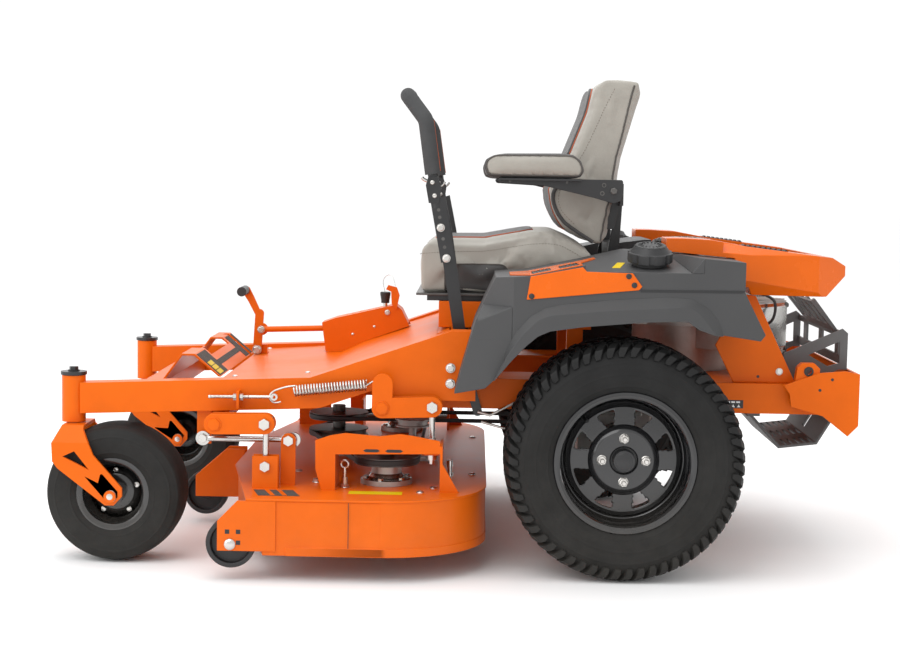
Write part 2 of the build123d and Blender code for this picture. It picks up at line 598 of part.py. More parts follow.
def hanger(x, y, z, foot):
    """A slotted yoke round a lift arm's bolt, on its threaded rod."""
    head = block(x - 17, x + 36, y - 7.5, y + 7.5, z - 19, z + 17)
    head -= block(x - 9, x + 29, y - 20, y + 20, z - 12, z + 10)
    return head + rod_z(x, y, 7, foot, z - 18)


def hanger_rods():
    """Four hangers that carry the deck from the lift arms."""
    x, y = FRONT_HANGER_X, FRONT_ARM_Y + 16
    front = hanger(x, y, FRONT_ARM_END[1], 255) + rod_y(x, 244, 15, y - 7.5, y + 7.5)
    front -= rod_y(x, 244, 8.4, y - 20, y + 20)
    x, y = REAR_ARM_END[0], HANGER_Y
    rear = hanger(x, y, REAR_ARM_END[1], 250) + rod_z(x, y, 12, 300.5, 310) + rod_z(x, y, 12, 260, 271.5)
    return both(front) + both(rear)


def spindle_housings():
    """Cast spindle housings, and the idler pulley with its arm."""
    out = []
    for x, y in SPINDLES.values():
        housing = rod_z(x, y, 62, DECK_TOP, 204) + rod_z(x, y, 36, 204, 238) + rod_z(x, y, 29.5, 177,
                                                                                     DECK_TOP)
        out.append(housing - rod_z(x, y, 17 + RUNNING_GAP, 140, 250))
    idler = rod_z(505, 120, 45, 284, 304) - (rod_z(505, 120, 50, 288, 300) - rod_z(505, 120, 39, 288, 300))
    post = rod_z(505, 120, 10, 204, 284)
    arm = block(440, 620, 105, 135, 196, 204) + rod_z(610, 120, 12, DECK_TOP, 196)
    out.append(idler + post + arm)
    return out


def pulley(x, y, z0, z1, r):
    """A grooved sheave on a vertical shaft."""
    groove = rod_z(x, y, r + 5, z0 + 3, z1 - 3) - rod_z(x, y, r - 6, z0 + 3, z1 - 3)
    return rod_z(x, y, r, z0, z1) - groove


def spindle(x, y, top_pulley):
    """A blade shaft with its sheave, top nut and the blade bolt below."""
    shaft = rod_z(x, y, 17, 84, 270) + pulley(x, y, 241, 260, 78)
    shaft += extrude(Plane((x, y, 270)) * RegularPolygon(16, 6), amount=12)
    shaft += rod_z(x, y, 8, 72, 84) + rod_z(x, y, 15, 64, 72)
    if top_pulley:
        shaft += rod_z(x, y, 17, 270, 320) + pulley(x, y, 285, 303, 78)
    return shaft


def blade(x, y):
    """A cutting blade, along Y at rest, with raised wings at its tips."""
    half = BLADE_LENGTH / 2
    bar_ = block(x - 32, x + 32, y - half, y + half, 78, 83.5)
    wing = block(x - 32, x - 26, y + half - 90, y + half, 83.5, 104)
    wing2 = block(x + 26, x + 32, y - half, y - half + 90, 83.5, 104)
    solid = bar_ + wing + wing2 - rod_z(x, y, 8.4, 60, 100)
    return solid & rod_z(x, y, half, 60, 120)


def belt_loop(pulleys, z0, z1, r):
    """A belt round (x, y) pulley centres given in order, outside them all."""
    outer = make_hull(ShapeList([e for x, y in pulleys for e in (Pos(x, y, 0) * Circle(r + 7)).edges()]))
    inner = make_hull(ShapeList([e for x, y in pulleys for e in (Pos(x, y, 0) * Circle(r)).edges()]))
    return Pos(0, 0, z0) * extrude(outer - inner, amount=z1 - z0)


def discharge_chute():
    """The rubber deflector on its hinge bar at the deck's right edge."""
    flap = cross_plate([(-691, 196), (-700, 202), (-930, 120), (CHUTE_Y, 78), (CHUTE_Y + 8, 76),
                        (-926, 113),
                        (-700, 194), (-691, 190)], 420, 760)
    for x in (420, 754):
        flap += cross_plate([(-700, 198), (-930, 116), (CHUTE_Y + 4, 78), (-760, 120), (-700, 160)], x,
                            x + 6)
    return flap + rod_x(-688, 196, 7, 420, 760)


def chute_bracket():
    """Hinge knuckles on the deck for the chute."""
    return [block(x, x + 14, -696, -660, DECK_TOP, DECK_TOP + 16) for x in (404, 762)]


# ---------------------------------------------------------------- deck lift
def lift_arms(shaft, end, y, lug=None):
    """A rock shaft with a clevis arm at each end, its inner plate at y."""
    tube = rod_y(*shaft, SHAFT_R, -y - 32, y + 32)
    arms = stadium(shaft, end, 24, y, y + 6) + stadium(shaft, end, 24, y + 26, y + 32)
    if lug:
        arms += stadium(shaft, lug, 24, y + 26, y + 32) + rod_y(*lug, 6, y - 3, y + 28)
    arms += rod_y(*end, 8, y - 2, y + 34) + hex_head(*end, y + 32, y + 41, 24)
    return tube + arms + right(arms) - rod_y(*shaft, 11, -y - 50, y + 50)


def stabilizer_link():
    """A fore-aft rod between the frame and the deck, its rear eye slotted for the lift's arc."""
    x, z = LINK_REAR
    eye = rod_y(*LINK_FRONT, 17, 471.5, 480)
    slot_eye = stadium((x + 2, z), (x - 10, z), 17.5, 471.5, 480)
    link = eye + slot_eye + rod_x(478.5, z, 6.5, x + 14, LINK_FRONT[0] - 13)
    link -= rod_y(*LINK_FRONT, 8 + RUNNING_GAP, 450, 490)
    return link - stadium((x + 1, z), (x - 9, z), 10.2, 450, 486)


def lift_spring():
    """The lift-assist spring as a closed tube of its outer size, with its threaded tension rod."""
    coil = bar((587, 490, 436), (772, 490, 416), 14.5)
    rod = bar((772, 490, 416), (826, 490, 405.5), 4) + bar((826, 490, 401), (975, 490, 399), 4.9)
    hook = bar((569.5, 490, 438), (590, 490, 436), 3)
    nut = rod_x(490, 400, 9, 909, 917)
    return coil + hook + rod + nut + bar((826, 490, 406), (827, 490, 400), 4)


def lift_pedal():
    """The foot-operated lift lever with its peg."""
    y = PEDAL_Y
    lever = stadium(PEDAL_PIVOT, (951, 540), 12, y - 4, y + 4)
    lever += side_plate([(942, 532), (960, 530), (982, 572), (1004, 606), (994, 616), (980, 612),
                         (966, 584)],
                        y - 4, y + 4)
    lever += rod_y(992, 604, 13, y - 4, y + 74)
    lever += rod_y(*PEDAL_LINK_PIN, 17, y - 4, y + 4)
    lever -= rod_y(*PEDAL_PIVOT, 8 + RUNNING_GAP, y - 10, y + 10)
    return lever - rod_y(*PEDAL_LINK_PIN, 10, y - 10, y + 10)


def pedal_link():
    """The rod from the pedal to the height selector."""
    y = PEDAL_Y + 13
    pin = rod_y(*PEDAL_LINK_PIN, 7.5, PEDAL_Y - 8, PEDAL_Y + 22) + hex_head(*PEDAL_LINK_PIN, PEDAL_Y - 16,
                                                                            PEDAL_Y - 8)
    return bar((944, y, 496), (706, y, 505), 8) + pin


def height_selector():
    """The cutting-height bracket: folded box with pin holes, pedal pivot ears, the pin and the latch."""
    y0, y1 = -292.0, -212.0
    outline = [(773, 520), (734, 534), (569, 573), (552, 560), (530, 515), (654, 470.6), (716, 441.6),
               (762, 438.5)]
    box = side_plate(outline, y0, y1)
    box -= side_plate([(790, 512), (732, 527), (572, 565), (558, 552), (500, 480), (640, 420), (800, 400)],
                      y0 + 5, y1 - 5)
    for i in range(6):
        x = 600 + 22 * i
        box -= rod_z(x, -252, 6.4, 540, 580)
    pin = rod_z(600, -252, 6.0, 535, 575) + rod_z(600, -252, 11, 575, 604)
    latch = side_plate([(566, 560), (558, 600), (566, 622), (590, 628), (596, 616), (582, 610), (580, 575)],
                       -211.8, -206)
    ear = side_plate([(930, 427), (966, 424.6), (966, 452), (930, 452)], PEDAL_Y - 14, PEDAL_Y - 8)
    ear += side_plate([(930, 427), (966, 424.6), (966, 429), (930, 431)], PEDAL_Y - 34, PEDAL_Y - 8)
    return [box, pin, latch, ear + rod_y(*PEDAL_PIVOT, 8, PEDAL_Y - 14, PEDAL_Y + 8)]


# ---------------------------------------------------------------- controls
def lever_base():
    """The left control shaft with its post, the fork for the swing pin, and the arm to the pump rod."""
    x, z = LEVER_PIVOT
    shaft = rod_y(x, z, 10, 316, 379) + rod_y(x, z, 16, 330, 350)
    post = side_plate([(x - 12, z - 4), (x + 12, z - 4), (x + 16, SWING_Z - 16), (x - 2, SWING_Z - 16)],
                      334, 348)
    web = block(SWING_X - 19, SWING_X + 19, 331, 353, SWING_Z - 22, SWING_Z - 15)
    fork = block(SWING_X - 19, SWING_X - 13, 331, 353, SWING_Z - 16, SWING_Z + 11)
    fork += block(SWING_X + 13, SWING_X + 19, 331, 353, SWING_Z - 16, SWING_Z + 11)
    pin = rod_x(LEVER_Y, SWING_Z, 5, SWING_X - 23, SWING_X + 23)
    arm = stadium((x, z), (x - 33, z - 110), 11, 373.5, 378.5)
    return shaft + post + web + fork + pin + arm


def lever_arm():
    """The left control lever: boss on the swing pin, flat bar, adjusting bracket and the bent grip tube."""
    x = SWING_X
    boss = rod_x(LEVER_Y, SWING_Z, 10, x - 12.5, x + 12.5)
    bar_ = side_plate([(x - 12, SWING_Z), (x + 12, SWING_Z), (x + 12, 544), (x + 20, 556), (440, 780),
                       (458, 868),
                       (424, 868), (406, 780), (x - 10, 556), (x - 12, 544)], LEVER_Y - 4, LEVER_Y + 4)
    bracket = side_plate([(400, 724), (434, 718), (462, 866), (426, 878)], LEVER_Y + 4, LEVER_Y + 10)
    bracket += side_plate([(400, 724), (434, 718), (462, 866), (426, 878)], LEVER_Y - 10, LEVER_Y - 4)
    y = LEVER_Y
    path = FilletPolyline((446, y, 850), (476, y, 1062), (522, y - 42, 1122), (524, 110, 1128), radius=30)
    tube = sweep(Plane(path @ 0, z_dir=path % 0) * Circle(12.5), path=path)
    grip_path = FilletPolyline((457.7, y, 932), (476, y, 1062), (522, y - 42, 1122), (524, 106, 1128),
                               radius=30)
    grip = sweep(Plane(grip_path @ 0, z_dir=grip_path % 0) * Circle(19), path=grip_path)
    lever = boss + bar_ + bracket + tube + grip
    return lever - rod_x(LEVER_Y, SWING_Z, 5 + RUNNING_GAP, x - 13, x + 13)


def make_controls():
    for name, place in (("left", lambda s: s), ("right", right)):
        save("lever_base_" + name, place(lever_base()))
        save("lever_arm_" + name, place(lever_arm()))


# ---------------------------------------------------------------- seat
def seat_pan():
    """The sliding pan, the two back uprights and the spar with its armrest pivot pins."""
    pan = block(45, 470, -235, 235, 618.3, 632)
    upright = side_plate([(-12, 618.3), (46, 618.3), (46, 632), (34, 632), (14, 760), (-4, 860), (-4, 916),
                          (-12, 916), (-18, 860), (-12, 740)], 150, 158)
    spar = block(-12, -4, -258, 258, 862, 914)
    ear = block(-12, 34, 252, 258, 880, 916) + rod_y(*ARM_PIVOT, 8, 250, 300)
    pan += spar
    for piece in (upright, ear):
        pan += piece
        pan += right(piece)
    return pan


def seat_cushion():
    """The seat cushion as a closed crowned form."""
    outline = [(497, 634), (499, 750), (484, 769), (330, 772), (215, 793), (150, 794), (100, 775),
               (48, 743),
               (40, 634)]
    return side_plate(outline, -SEAT_HALF, SEAT_HALF)


def seat_back():
    """The high backrest as a closed form."""
    outline = [(28, 753), (52, 753), (100, 783), (132, 803), (158, 830), (170, 856), (173, 888), (150, 932),
               (112, 990), (62, 1100), (39, 1156), (10, 1173), (-44, 1165), (-28, 1110), (-4, 980), (8,
                                                                                                     880)]
    return side_plate(outline, -240, 240)


def armrest():
    """The left armrest: pad on its folding bracket, with the pivot boss."""
    pad = side_plate([(339, 958), (330, 926), (96, 926), (86, 946), (96, 974), (115, 989), (313, 985),
                      (334, 974)], 262, 332)
    bracket = side_plate([(294, 925.8), (294, 918), (178, 912), (60, 880), (10, 868), (-4, 880),
                          (-6, 925.8)], 290, 298)
    hinge = bracket + rod_y(*ARM_PIVOT, 13, 262, 298) - rod_y(*ARM_PIVOT, 8 + RUNNING_GAP, 250, 310)
    return [pad, hinge]


def main():
    os.makedirs("parts", exist_ok=True)
    make_wheels()
    rail = frame_rail()
    save("frame_rail_left", rail)
    save("frame_rail_right", right(rail))
    save("frame_crossmembers", frame_crossmembers(), both(hood_struts()))
    save("floor_pan", floor_pan())
    save("footrest_plate", footrest_plate())
    save("seat_platform", seat_platform())
    console = fender()
    save("fender_left", console)
    save("fender_right", right(console))
    save("fender_panels", *[both(plate) for plate in fender_panel()])
    save("fuel_caps", both(fuel_cap()))
    save("engine_hood", engine_hood())
    save("rear_bumper", rear_bumper())
    save("engine_guard", engine_guard())
    save("rear_step", rear_step())
    save("engine_block", engine_block())
    save("crankshaft_group", crankshaft_group())
    save("muffler", muffler())
    save("hydro_transaxles", both(hydro()))
    save("deck_shell", deck_shell(), chute_bracket())
    save("deck_brackets", deck_brackets())
    save("hanger_rods", hanger_rods())
    save("spindle_housings", spindle_housings())
    for name, (x, y) in SPINDLES.items():
        save("spindle_" + name, spindle(x, y, name == "centre"))
        save("blade_" + name, blade(x, y))
    save("deck_belt", belt_loop(list(SPINDLES.values()), 244.5, 256.5, 72.3))
    save("drive_belt", belt_loop([SPINDLES["centre"], (ENGINE_X, 0)], 289, 299, 72.3))
    save("discharge_chute", discharge_chute())
    save("scalp_wheel_left", scalp_wheel(896, 643, 87))
    save("scalp_wheel_right", scalp_wheel(896, -643, 87))
    save("scalp_wheel_centre", scalp_wheel(1056, 0, 80))
    save("front_rockshaft", lift_arms(FRONT_SHAFT, FRONT_ARM_END, FRONT_ARM_Y))
    save("rear_rockshaft", lift_arms(REAR_SHAFT, REAR_ARM_END, REAR_ARM_Y, SPRING_LUG))
    save("stabilizer_links", both(stabilizer_link()))
    save("lift_springs", both(lift_spring()))
    save("lift_pedal", lift_pedal())
    save("pedal_link", pedal_link())
    save("height_selector", height_selector())
    make_controls()
    save("seat_pan", seat_pan())
    save("seat_cushion", seat_cushion())
    save("seat_back", seat_back())
    save("armrest_left", armrest())
    save("armrest_right", [right(s) for s in armrest()])


main()
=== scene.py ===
"""Zero turn mower: the looks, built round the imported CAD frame.

Lengths in this script are millimetres in the machine frame: X forward from the rear axle, Y to the
operator's left, Z up. at() turns them into metres in the row frame.
"""

import json
from math import cos, pi, radians, sin, sqrt

import bmesh
import bpy
from mathutils import Matrix, Vector
from mathutils.bvhtree import BVHTree

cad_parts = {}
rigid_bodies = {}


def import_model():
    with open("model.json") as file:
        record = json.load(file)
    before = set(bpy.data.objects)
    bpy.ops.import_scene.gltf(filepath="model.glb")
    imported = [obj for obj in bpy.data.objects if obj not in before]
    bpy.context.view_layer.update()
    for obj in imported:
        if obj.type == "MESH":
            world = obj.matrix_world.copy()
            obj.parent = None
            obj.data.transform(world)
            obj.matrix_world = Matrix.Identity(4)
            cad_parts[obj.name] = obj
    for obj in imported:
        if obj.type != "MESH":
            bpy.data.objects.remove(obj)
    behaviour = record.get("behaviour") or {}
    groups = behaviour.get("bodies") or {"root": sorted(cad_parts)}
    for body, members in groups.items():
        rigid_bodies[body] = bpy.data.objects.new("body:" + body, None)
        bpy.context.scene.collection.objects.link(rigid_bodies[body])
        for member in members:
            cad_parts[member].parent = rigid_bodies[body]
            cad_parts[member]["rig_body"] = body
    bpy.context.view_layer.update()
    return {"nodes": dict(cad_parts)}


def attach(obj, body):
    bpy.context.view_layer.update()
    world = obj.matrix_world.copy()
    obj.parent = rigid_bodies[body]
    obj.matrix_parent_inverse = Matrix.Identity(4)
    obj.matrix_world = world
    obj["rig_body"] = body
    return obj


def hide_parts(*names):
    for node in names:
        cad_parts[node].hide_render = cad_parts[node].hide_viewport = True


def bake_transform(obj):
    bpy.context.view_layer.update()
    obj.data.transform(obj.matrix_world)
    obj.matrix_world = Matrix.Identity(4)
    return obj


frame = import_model()
NODES = frame["nodes"]
ORIGIN_X, ORIGIN_Y = 393.0, -142.5  # the row frame's origin in the machine frame
MM = 0.001
AXLE, UP = (0, 1, 0), (0, 0, 1)

REAR_Y, REAR_Z = 509.0, 279.5
CASTER_X, CASTER_Y, CASTER_Z = 1198.0, 444.0, 165.0
STEM_X = 1305.0  # the casters' upright stems
ENGINE = Vector((-196, 0, 565))  # on the crankshaft, at the height of the cylinders
SPINDLE_X, SPINDLE_Y = 555, 435  # the outer spindles
DECK_Z, SKIRT_Y = 192, 675  # the deck's top and its skirt's outer face
LEVER_Y = 340  # the middle of a steering lever


def at(x, y, z):
    """A point of the machine frame, in millimetres, as a point of the row frame in metres."""
    return Vector(((x - ORIGIN_X) * MM, (y - ORIGIN_Y) * MM, z * MM))


def put(name, data):
    """A new object with this data, in the scene."""
    made = bpy.data.objects.new(name, data)
    bpy.context.scene.collection.objects.link(made)
    return made


# ---------------------------------------------------------------- camera
camera = put("camera", bpy.data.cameras.new("camera"))
bpy.context.scene.camera = camera
camera.data.lens = 66.41
camera.data.sensor_width = 36.0
camera.data.clip_start, camera.data.clip_end = 0.1, 100.0
camera_right = Vector((-0.99973934, -0.01541695, 0.01683947))
camera_up = Vector((0.01807335, -0.08374409, 0.99632338))
camera_back = camera_right.cross(camera_up)
turn = Matrix((camera_right, camera_up, camera_back)).transposed().to_4x4()
camera.matrix_world = Matrix.Translation(at(353.4, 4373.2, 906.3)) @ turn


# ---------------------------------------------------------------- materials
DUST_COLOUR = (0.32, 0.28, 0.22, 1)
GLOSS_VARY = 0.08  # how far a material's roughness strays either way


def node(tree, kind, **inputs):
    """A shader node with some inputs set; an underscore in a keyword stands for a space."""
    made = tree.nodes.new(kind)
    for key, value in inputs.items():
        made.inputs[key.replace("_", " ")].default_value = value
    return made


def dust_over(tree, place, colour_out, dust, dust_height):
    """Mixes dust into a colour: thickest at the ground, gone at dust_height metres."""
    link = tree.links.new
    split = node(tree, "ShaderNodeSeparateXYZ")
    link(place, split.inputs["Vector"])
    fade = node(tree, "ShaderNodeMapRange", From_Min=dust_height, From_Max=0.0)
    link(split.outputs["Z"], fade.inputs["Value"])
    soil = node(tree, "ShaderNodeTexNoise", Scale=38.0, Detail=8.0, Roughness=0.7)
    link(place, soil.inputs["Vector"])
    amount = node(tree, "ShaderNodeMath")
    amount.operation = "MULTIPLY"
    link(fade.outputs["Result"], amount.inputs[0])
    link(soil.outputs["Fac"], amount.inputs[1])
    strength = node(tree, "ShaderNodeMath")
    strength.operation = "MULTIPLY"
    strength.inputs[1].default_value = dust
    link(amount.outputs[0], strength.inputs[0])
    mix = node(tree, "ShaderNodeMix")
    mix.data_type = "RGBA"
    mix.inputs["B"].default_value = DUST_COLOUR
    link(strength.outputs[0], mix.inputs["Factor"])
    link(colour_out, mix.inputs["A"])
    return mix.outputs["Result"]


def surface(name, colour, rough, metallic=0.0, vary=0.08, patch=9.0, grain=900.0, bump=0.12, depth=0.0006,
            coat=0.0, coat_rough=0.15, dust=0.0, voronoi=False, sheen=0.0, specular=0.5, dust_height=0.25):
    """A procedural material: patchy colour, uneven gloss and a fine bump, with dust towards the ground."""
    made = bpy.data.materials.new(name)
    made.use_nodes = True
    tree = made.node_tree
    link = tree.links.new
    shader = tree.nodes["Principled BSDF"]
    for key, value in (("Metallic", metallic), ("Coat Weight", coat), ("Coat Roughness", coat_rough),
                       ("Sheen Weight", sheen), ("Specular IOR Level", specular)):
        shader.inputs[key].default_value = value
    made.diffuse_color = (*colour, 1)
    place = node(tree, "ShaderNodeTexCoord").outputs["Object"]
    broad = node(tree, "ShaderNodeTexNoise", Scale=patch, Detail=5.0, Roughness=0.6)
    link(place, broad.inputs["Vector"])
    ramp = node(tree, "ShaderNodeValToRGB")
    for end, position, change in zip(ramp.color_ramp.elements, (0.35, 0.68), (1 - vary, 1 + vary)):
        end.position = position
        end.color = (*[min(1, c * change) for c in colour], 1)
    link(broad.outputs["Fac"], ramp.inputs["Fac"])
    colour_out = ramp.outputs["Color"]
    if dust:
        colour_out = dust_over(tree, place, colour_out, dust, dust_height)
    link(colour_out, shader.inputs["Base Color"])
    gloss = node(tree, "ShaderNodeMapRange", To_Min=max(0.02, rough - GLOSS_VARY),
                 To_Max=min(1.0, rough + GLOSS_VARY))
    link(broad.outputs["Fac"], gloss.inputs["Value"])
    link(gloss.outputs["Result"], shader.inputs["Roughness"])
    if voronoi:
        fine = node(tree, "ShaderNodeTexVoronoi", Scale=grain)
        height = fine.outputs["Distance"]
    else:
        fine = node(tree, "ShaderNodeTexNoise", Scale=grain, Detail=3.0)
        height = fine.outputs["Fac"]
    link(place, fine.inputs["Vector"])
    relief = node(tree, "ShaderNodeBump", Strength=bump, Distance=depth)
    link(height, relief.inputs["Height"])
    link(relief.outputs["Normal"], shader.inputs["Normal"])
    return made


ORANGE = (0.70, 0.118, 0.002)
M = {
    "orange": surface("orange_powder_coat", ORANGE, 0.38, vary=0.05, grain=420.0, bump=0.05, depth=0.0004,
                      coat=0.03, coat_rough=0.2, dust=0.1, specular=0.14),
    "hood": surface("orange_hood_paint", ORANGE, 0.26, vary=0.04, grain=300.0, bump=0.04, coat=0.08,
                    coat_rough=0.12, specular=0.2),
    "black": surface("black_powder_coat", (0.012, 0.012, 0.013), 0.38, vary=0.3, grain=700.0, bump=0.12,
                     coat=0.2, dust=0.3),
    "grey": surface("grey_powder_coat", (0.10, 0.10, 0.10), 0.5, vary=0.1, grain=800.0, bump=0.2),
    "plastic": surface("charcoal_moulding", (0.046, 0.046, 0.047), 0.55, vary=0.07, patch=6.0, grain=1100.0,
                       bump=0.25, depth=0.0004, voronoi=True),
    "plastic_dark": surface("black_moulding", (0.016, 0.016, 0.017), 0.45, vary=0.1, grain=1000.0, bump=0.2,
                            voronoi=True),
    "tyre": surface("tyre_rubber", (0.013, 0.013, 0.013), 0.72, vary=0.25, patch=14.0, grain=500.0,
                    bump=0.25, depth=0.0008, dust=0.07, dust_height=0.5, specular=0.22),
    "tread": surface("tread_rubber", (0.008, 0.008, 0.008), 0.6, vary=0.3, patch=30.0, grain=260.0,
                     bump=0.35, depth=0.001, dust=0.1, dust_height=0.35, specular=0.3),
    "rim": surface("gloss_black_rim", (0.010, 0.010, 0.011), 0.22, vary=0.2, grain=240.0, bump=0.04,
                   coat=0.6, coat_rough=0.06, dust=0.2),
    "vinyl": surface("taupe_vinyl", (0.325, 0.305, 0.268), 0.55, vary=0.06, patch=16.0, grain=520.0,
                     bump=0.45, depth=0.0007, voronoi=True, sheen=0.15),
    "vinyl_dark": surface("charcoal_vinyl", (0.050, 0.048, 0.047), 0.6, vary=0.12, patch=18.0, grain=620.0,
                          bump=0.6, depth=0.0008, voronoi=True, sheen=0.1),
    "piping": surface("orange_piping", (0.42, 0.070, 0.010), 0.5, grain=1500.0, bump=0.4),
    "piping_dark": surface("dark_piping", (0.07, 0.062, 0.055), 0.55, grain=1500.0, bump=0.4),
    "thread": surface("seam_thread", (0.17, 0.145, 0.12), 0.7, grain=3000.0, bump=0.6),
    "zinc": surface("zinc_fastener", (0.62, 0.60, 0.57), 0.28, metallic=1.0, vary=0.1, grain=600.0,
                    bump=0.1),
    "steel": surface("bright_steel", (0.55, 0.54, 0.52), 0.24, metallic=1.0, vary=0.12, patch=40.0,
                     grain=900.0, bump=0.1),
    "dark_steel": surface("dark_steel", (0.12, 0.115, 0.11), 0.42, metallic=0.9, vary=0.2, patch=20.0,
                          grain=500.0, bump=0.2),
    "alloy": surface("cast_alloy", (0.46, 0.45, 0.43), 0.48, metallic=0.85, vary=0.12, patch=22.0,
                     grain=320.0, bump=0.45, depth=0.0010),
    "foam": surface("foam_grip", (0.055, 0.056, 0.057), 0.82, vary=0.1, patch=20.0, grain=900.0, bump=0.6,
                    depth=0.0009, specular=0.3),
    "belt": surface("belt_rubber", (0.014, 0.014, 0.015), 0.55, vary=0.2, grain=700.0, bump=0.3),
    "rubber": surface("chute_rubber", (0.022, 0.022, 0.023), 0.6, vary=0.15, patch=10.0, grain=500.0,
                      bump=0.4, dust=0.3),
    "grip": surface("grit_tape", (0.070, 0.064, 0.058), 0.9, vary=0.3, patch=160.0, grain=1500.0, bump=1.0,
                    depth=0.0012),
    "yellow": surface("yellow_label", (0.66, 0.47, 0.004), 0.5, vary=0.03, grain=900.0, bump=0.05,
                      specular=0.15),
    "white": surface("white_label", (0.75, 0.75, 0.74), 0.45, vary=0.03, grain=900.0, bump=0.05),
    "muffler": surface("hot_steel", (0.16, 0.13, 0.11), 0.5, metallic=0.8, vary=0.35, patch=18.0,
                       grain=500.0, bump=0.3),
}


# ---------------------------------------------------------------- mesh helpers
CORE = 0.1  # the radius where a solid lathe profile meets its axis


def finish_piece(name, bm, material, body, bevel=0.0, angle=30.0, recalc=True):
    """Turns a bmesh in the row frame into a shaded piece that rides on a body."""
    if recalc:
        bmesh.ops.recalc_face_normals(bm, faces=bm.faces)
    mesh = bpy.data.meshes.new(name)
    bm.to_mesh(mesh)
    bm.free()
    piece = put(name, mesh)
    for finish in [material] if isinstance(material, str) else material:
        mesh.materials.append(M[finish])
    shade(piece, bevel, angle)
    if body:
        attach(piece, body)
    return piece


def shade(piece, bevel, angle=30.0):
    """Smooth shading with crisp edges, and a small rounded edge of that width in millimetres."""
    mesh = piece.data
    mesh.polygons.foreach_set("use_smooth", [True] * len(mesh.polygons))
    if bevel:
        edge = piece.modifiers.new("edge", "BEVEL")
        edge.width = bevel * MM
        edge.segments = 2
        edge.limit_method = "ANGLE"
        edge.angle_limit = radians(angle)
        edge.harden_normals = True
        even = piece.modifiers.new("even", "WEIGHTED_NORMAL")
        even.keep_sharp = True
    else:
        mesh.set_sharp_from_angle(angle=radians(angle))


def refine(cad, material, bevel, slot, pick=None):
    """A CAD node's own shape with rounded edges and a real finish, standing for the node.

    pick(x, y, z, normal) says which of the materials a face wears, from its middle.
    """
    source = NODES[cad]
    bm = bmesh.new()
    bm.from_mesh(source.data)
    bmesh.ops.remove_doubles(bm, verts=bm.verts, dist=2e-6)
    bmesh.ops.dissolve_limit(bm, angle_limit=radians(0.4), verts=bm.verts, edges=bm.edges)
    for f in bm.faces:
        c = f.calc_center_median()
        f.material_index = pick(c.x / MM + ORIGIN_X, c.y / MM + ORIGIN_Y, c.z / MM, f.normal) if pick else 0
    piece = finish_piece(cad + "_skin", bm, material, source["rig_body"], bevel, 28.0, recalc=False)
    if "custom_normal" in piece.data.attributes:
        piece.data.attributes.remove(piece.data.attributes["custom_normal"])
    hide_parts(cad)


def add_ring(bm, points):
    """A vertex for each point, in metres."""
    return [bm.verts.new(p) for p in points]


def bridge(bm, a, b):
    """Faces between two rings of as many vertices."""
    for i in range(len(a)):
        bm.faces.new((a[i], a[(i + 1) % len(a)], b[(i + 1) % len(a)], b[i]))


def add_closed(bm, rings):
    """A solid through rings of vertices, closed at both ends."""
    for a, b in zip(rings, rings[1:]):
        bridge(bm, a, b)
    bm.faces.new(rings[0])
    bm.faces.new(rings[-1])


def square_to(axis):
    """The unit vector along an axis, and two directions square to it."""
    axis = Vector(axis).normalized()
    side = axis.orthogonal().normalized()
    return axis, side, axis.cross(side)


def sleeve(inner, outer, t0, t1):
    """The lathe profile of a plain sleeve."""
    return [(inner, t0), (outer, t0), (outer, t1), (inner, t1)]


def bar(radius, t0, t1):
    """The lathe profile of a plain round bar."""
    return sleeve(CORE, radius, t0, t1)


def oblong(x0, z0, x1, z1):
    """A rectangle's outline from two opposite corners."""
    return [(x0, z0), (x1, z0), (x1, z1), (x0, z1)]


def add_plate(bm, outline, y0, y1):
    """A plate with a side outline of (x, z), between two Y."""
    add_closed(bm, [add_ring(bm, [at(x, y, z) for x, z in outline]) for y in (y0, y1)])


def add_lathe(bm, centre, axis, profile, steps=48):
    """Turns (radius, along) points round an axis through a machine-frame point."""
    axis, side, other = square_to(axis)
    origin = at(*centre)
    rings = []
    for i in range(steps):
        a = 2 * pi * i / steps
        out = side * cos(a) + other * sin(a)
        rings.append([bm.verts.new(origin + out * r * MM + axis * t * MM) for r, t in profile])
    for i in range(steps):
        a, b = rings[i], rings[(i + 1) % steps]
        for j in range(len(profile)):
            k = (j + 1) % len(profile)
            bm.faces.new((a[j], b[j], b[k], a[k]))


def add_hex(bm, centre, axis, across, t0, t1, turn=0.0):
    """A hexagon head with a chamfered crown."""
    axis, side, other = square_to(axis)
    origin = at(*centre)
    rings = []
    for share, t in ((1.0, t0), (1.0, t1 - 0.12 * (t1 - t0)), (0.84, t1)):
        r = share * across / sqrt(3) * MM
        rings.append(add_ring(bm, [
            origin + (side * cos(turn + pi / 3 * i) + other * sin(turn + pi / 3 * i)) * r + axis * t * MM
            for i in range(6)]))
    add_closed(bm, rings)


def add_bolt(bm, centre, axis, across=15.0, height=8.0):
    """A hexagon head on its washer; the centre is the face it is tightened on."""
    washer = [(CORE, 0), (across * 0.68, 0), (across * 0.7, 0.8), (across * 0.66, 1.8), (CORE, 1.8)]
    add_lathe(bm, centre, axis, washer, 20)
    add_hex(bm, centre, axis, across, 1.7, height)


def add_dome(bm, centre, axis, radius, height):
    """A carriage bolt's round head."""
    profile = [(CORE, 0), (radius, 0), (radius * 0.98, height * 0.35), (radius * 0.8, height * 0.72),
               (radius * 0.45, height * 0.95), (CORE, height)]
    add_lathe(bm, centre, axis, profile, 24)


def plates(name, outlines, y0, y1, material, body, bevel=0.0):
    """Plates with these side outlines, all between the same two Y, as one piece."""
    bm = bmesh.new()
    for outline in outlines:
        add_plate(bm, outline, y0, y1)
    return finish_piece(name, bm, material, body, bevel, 30)


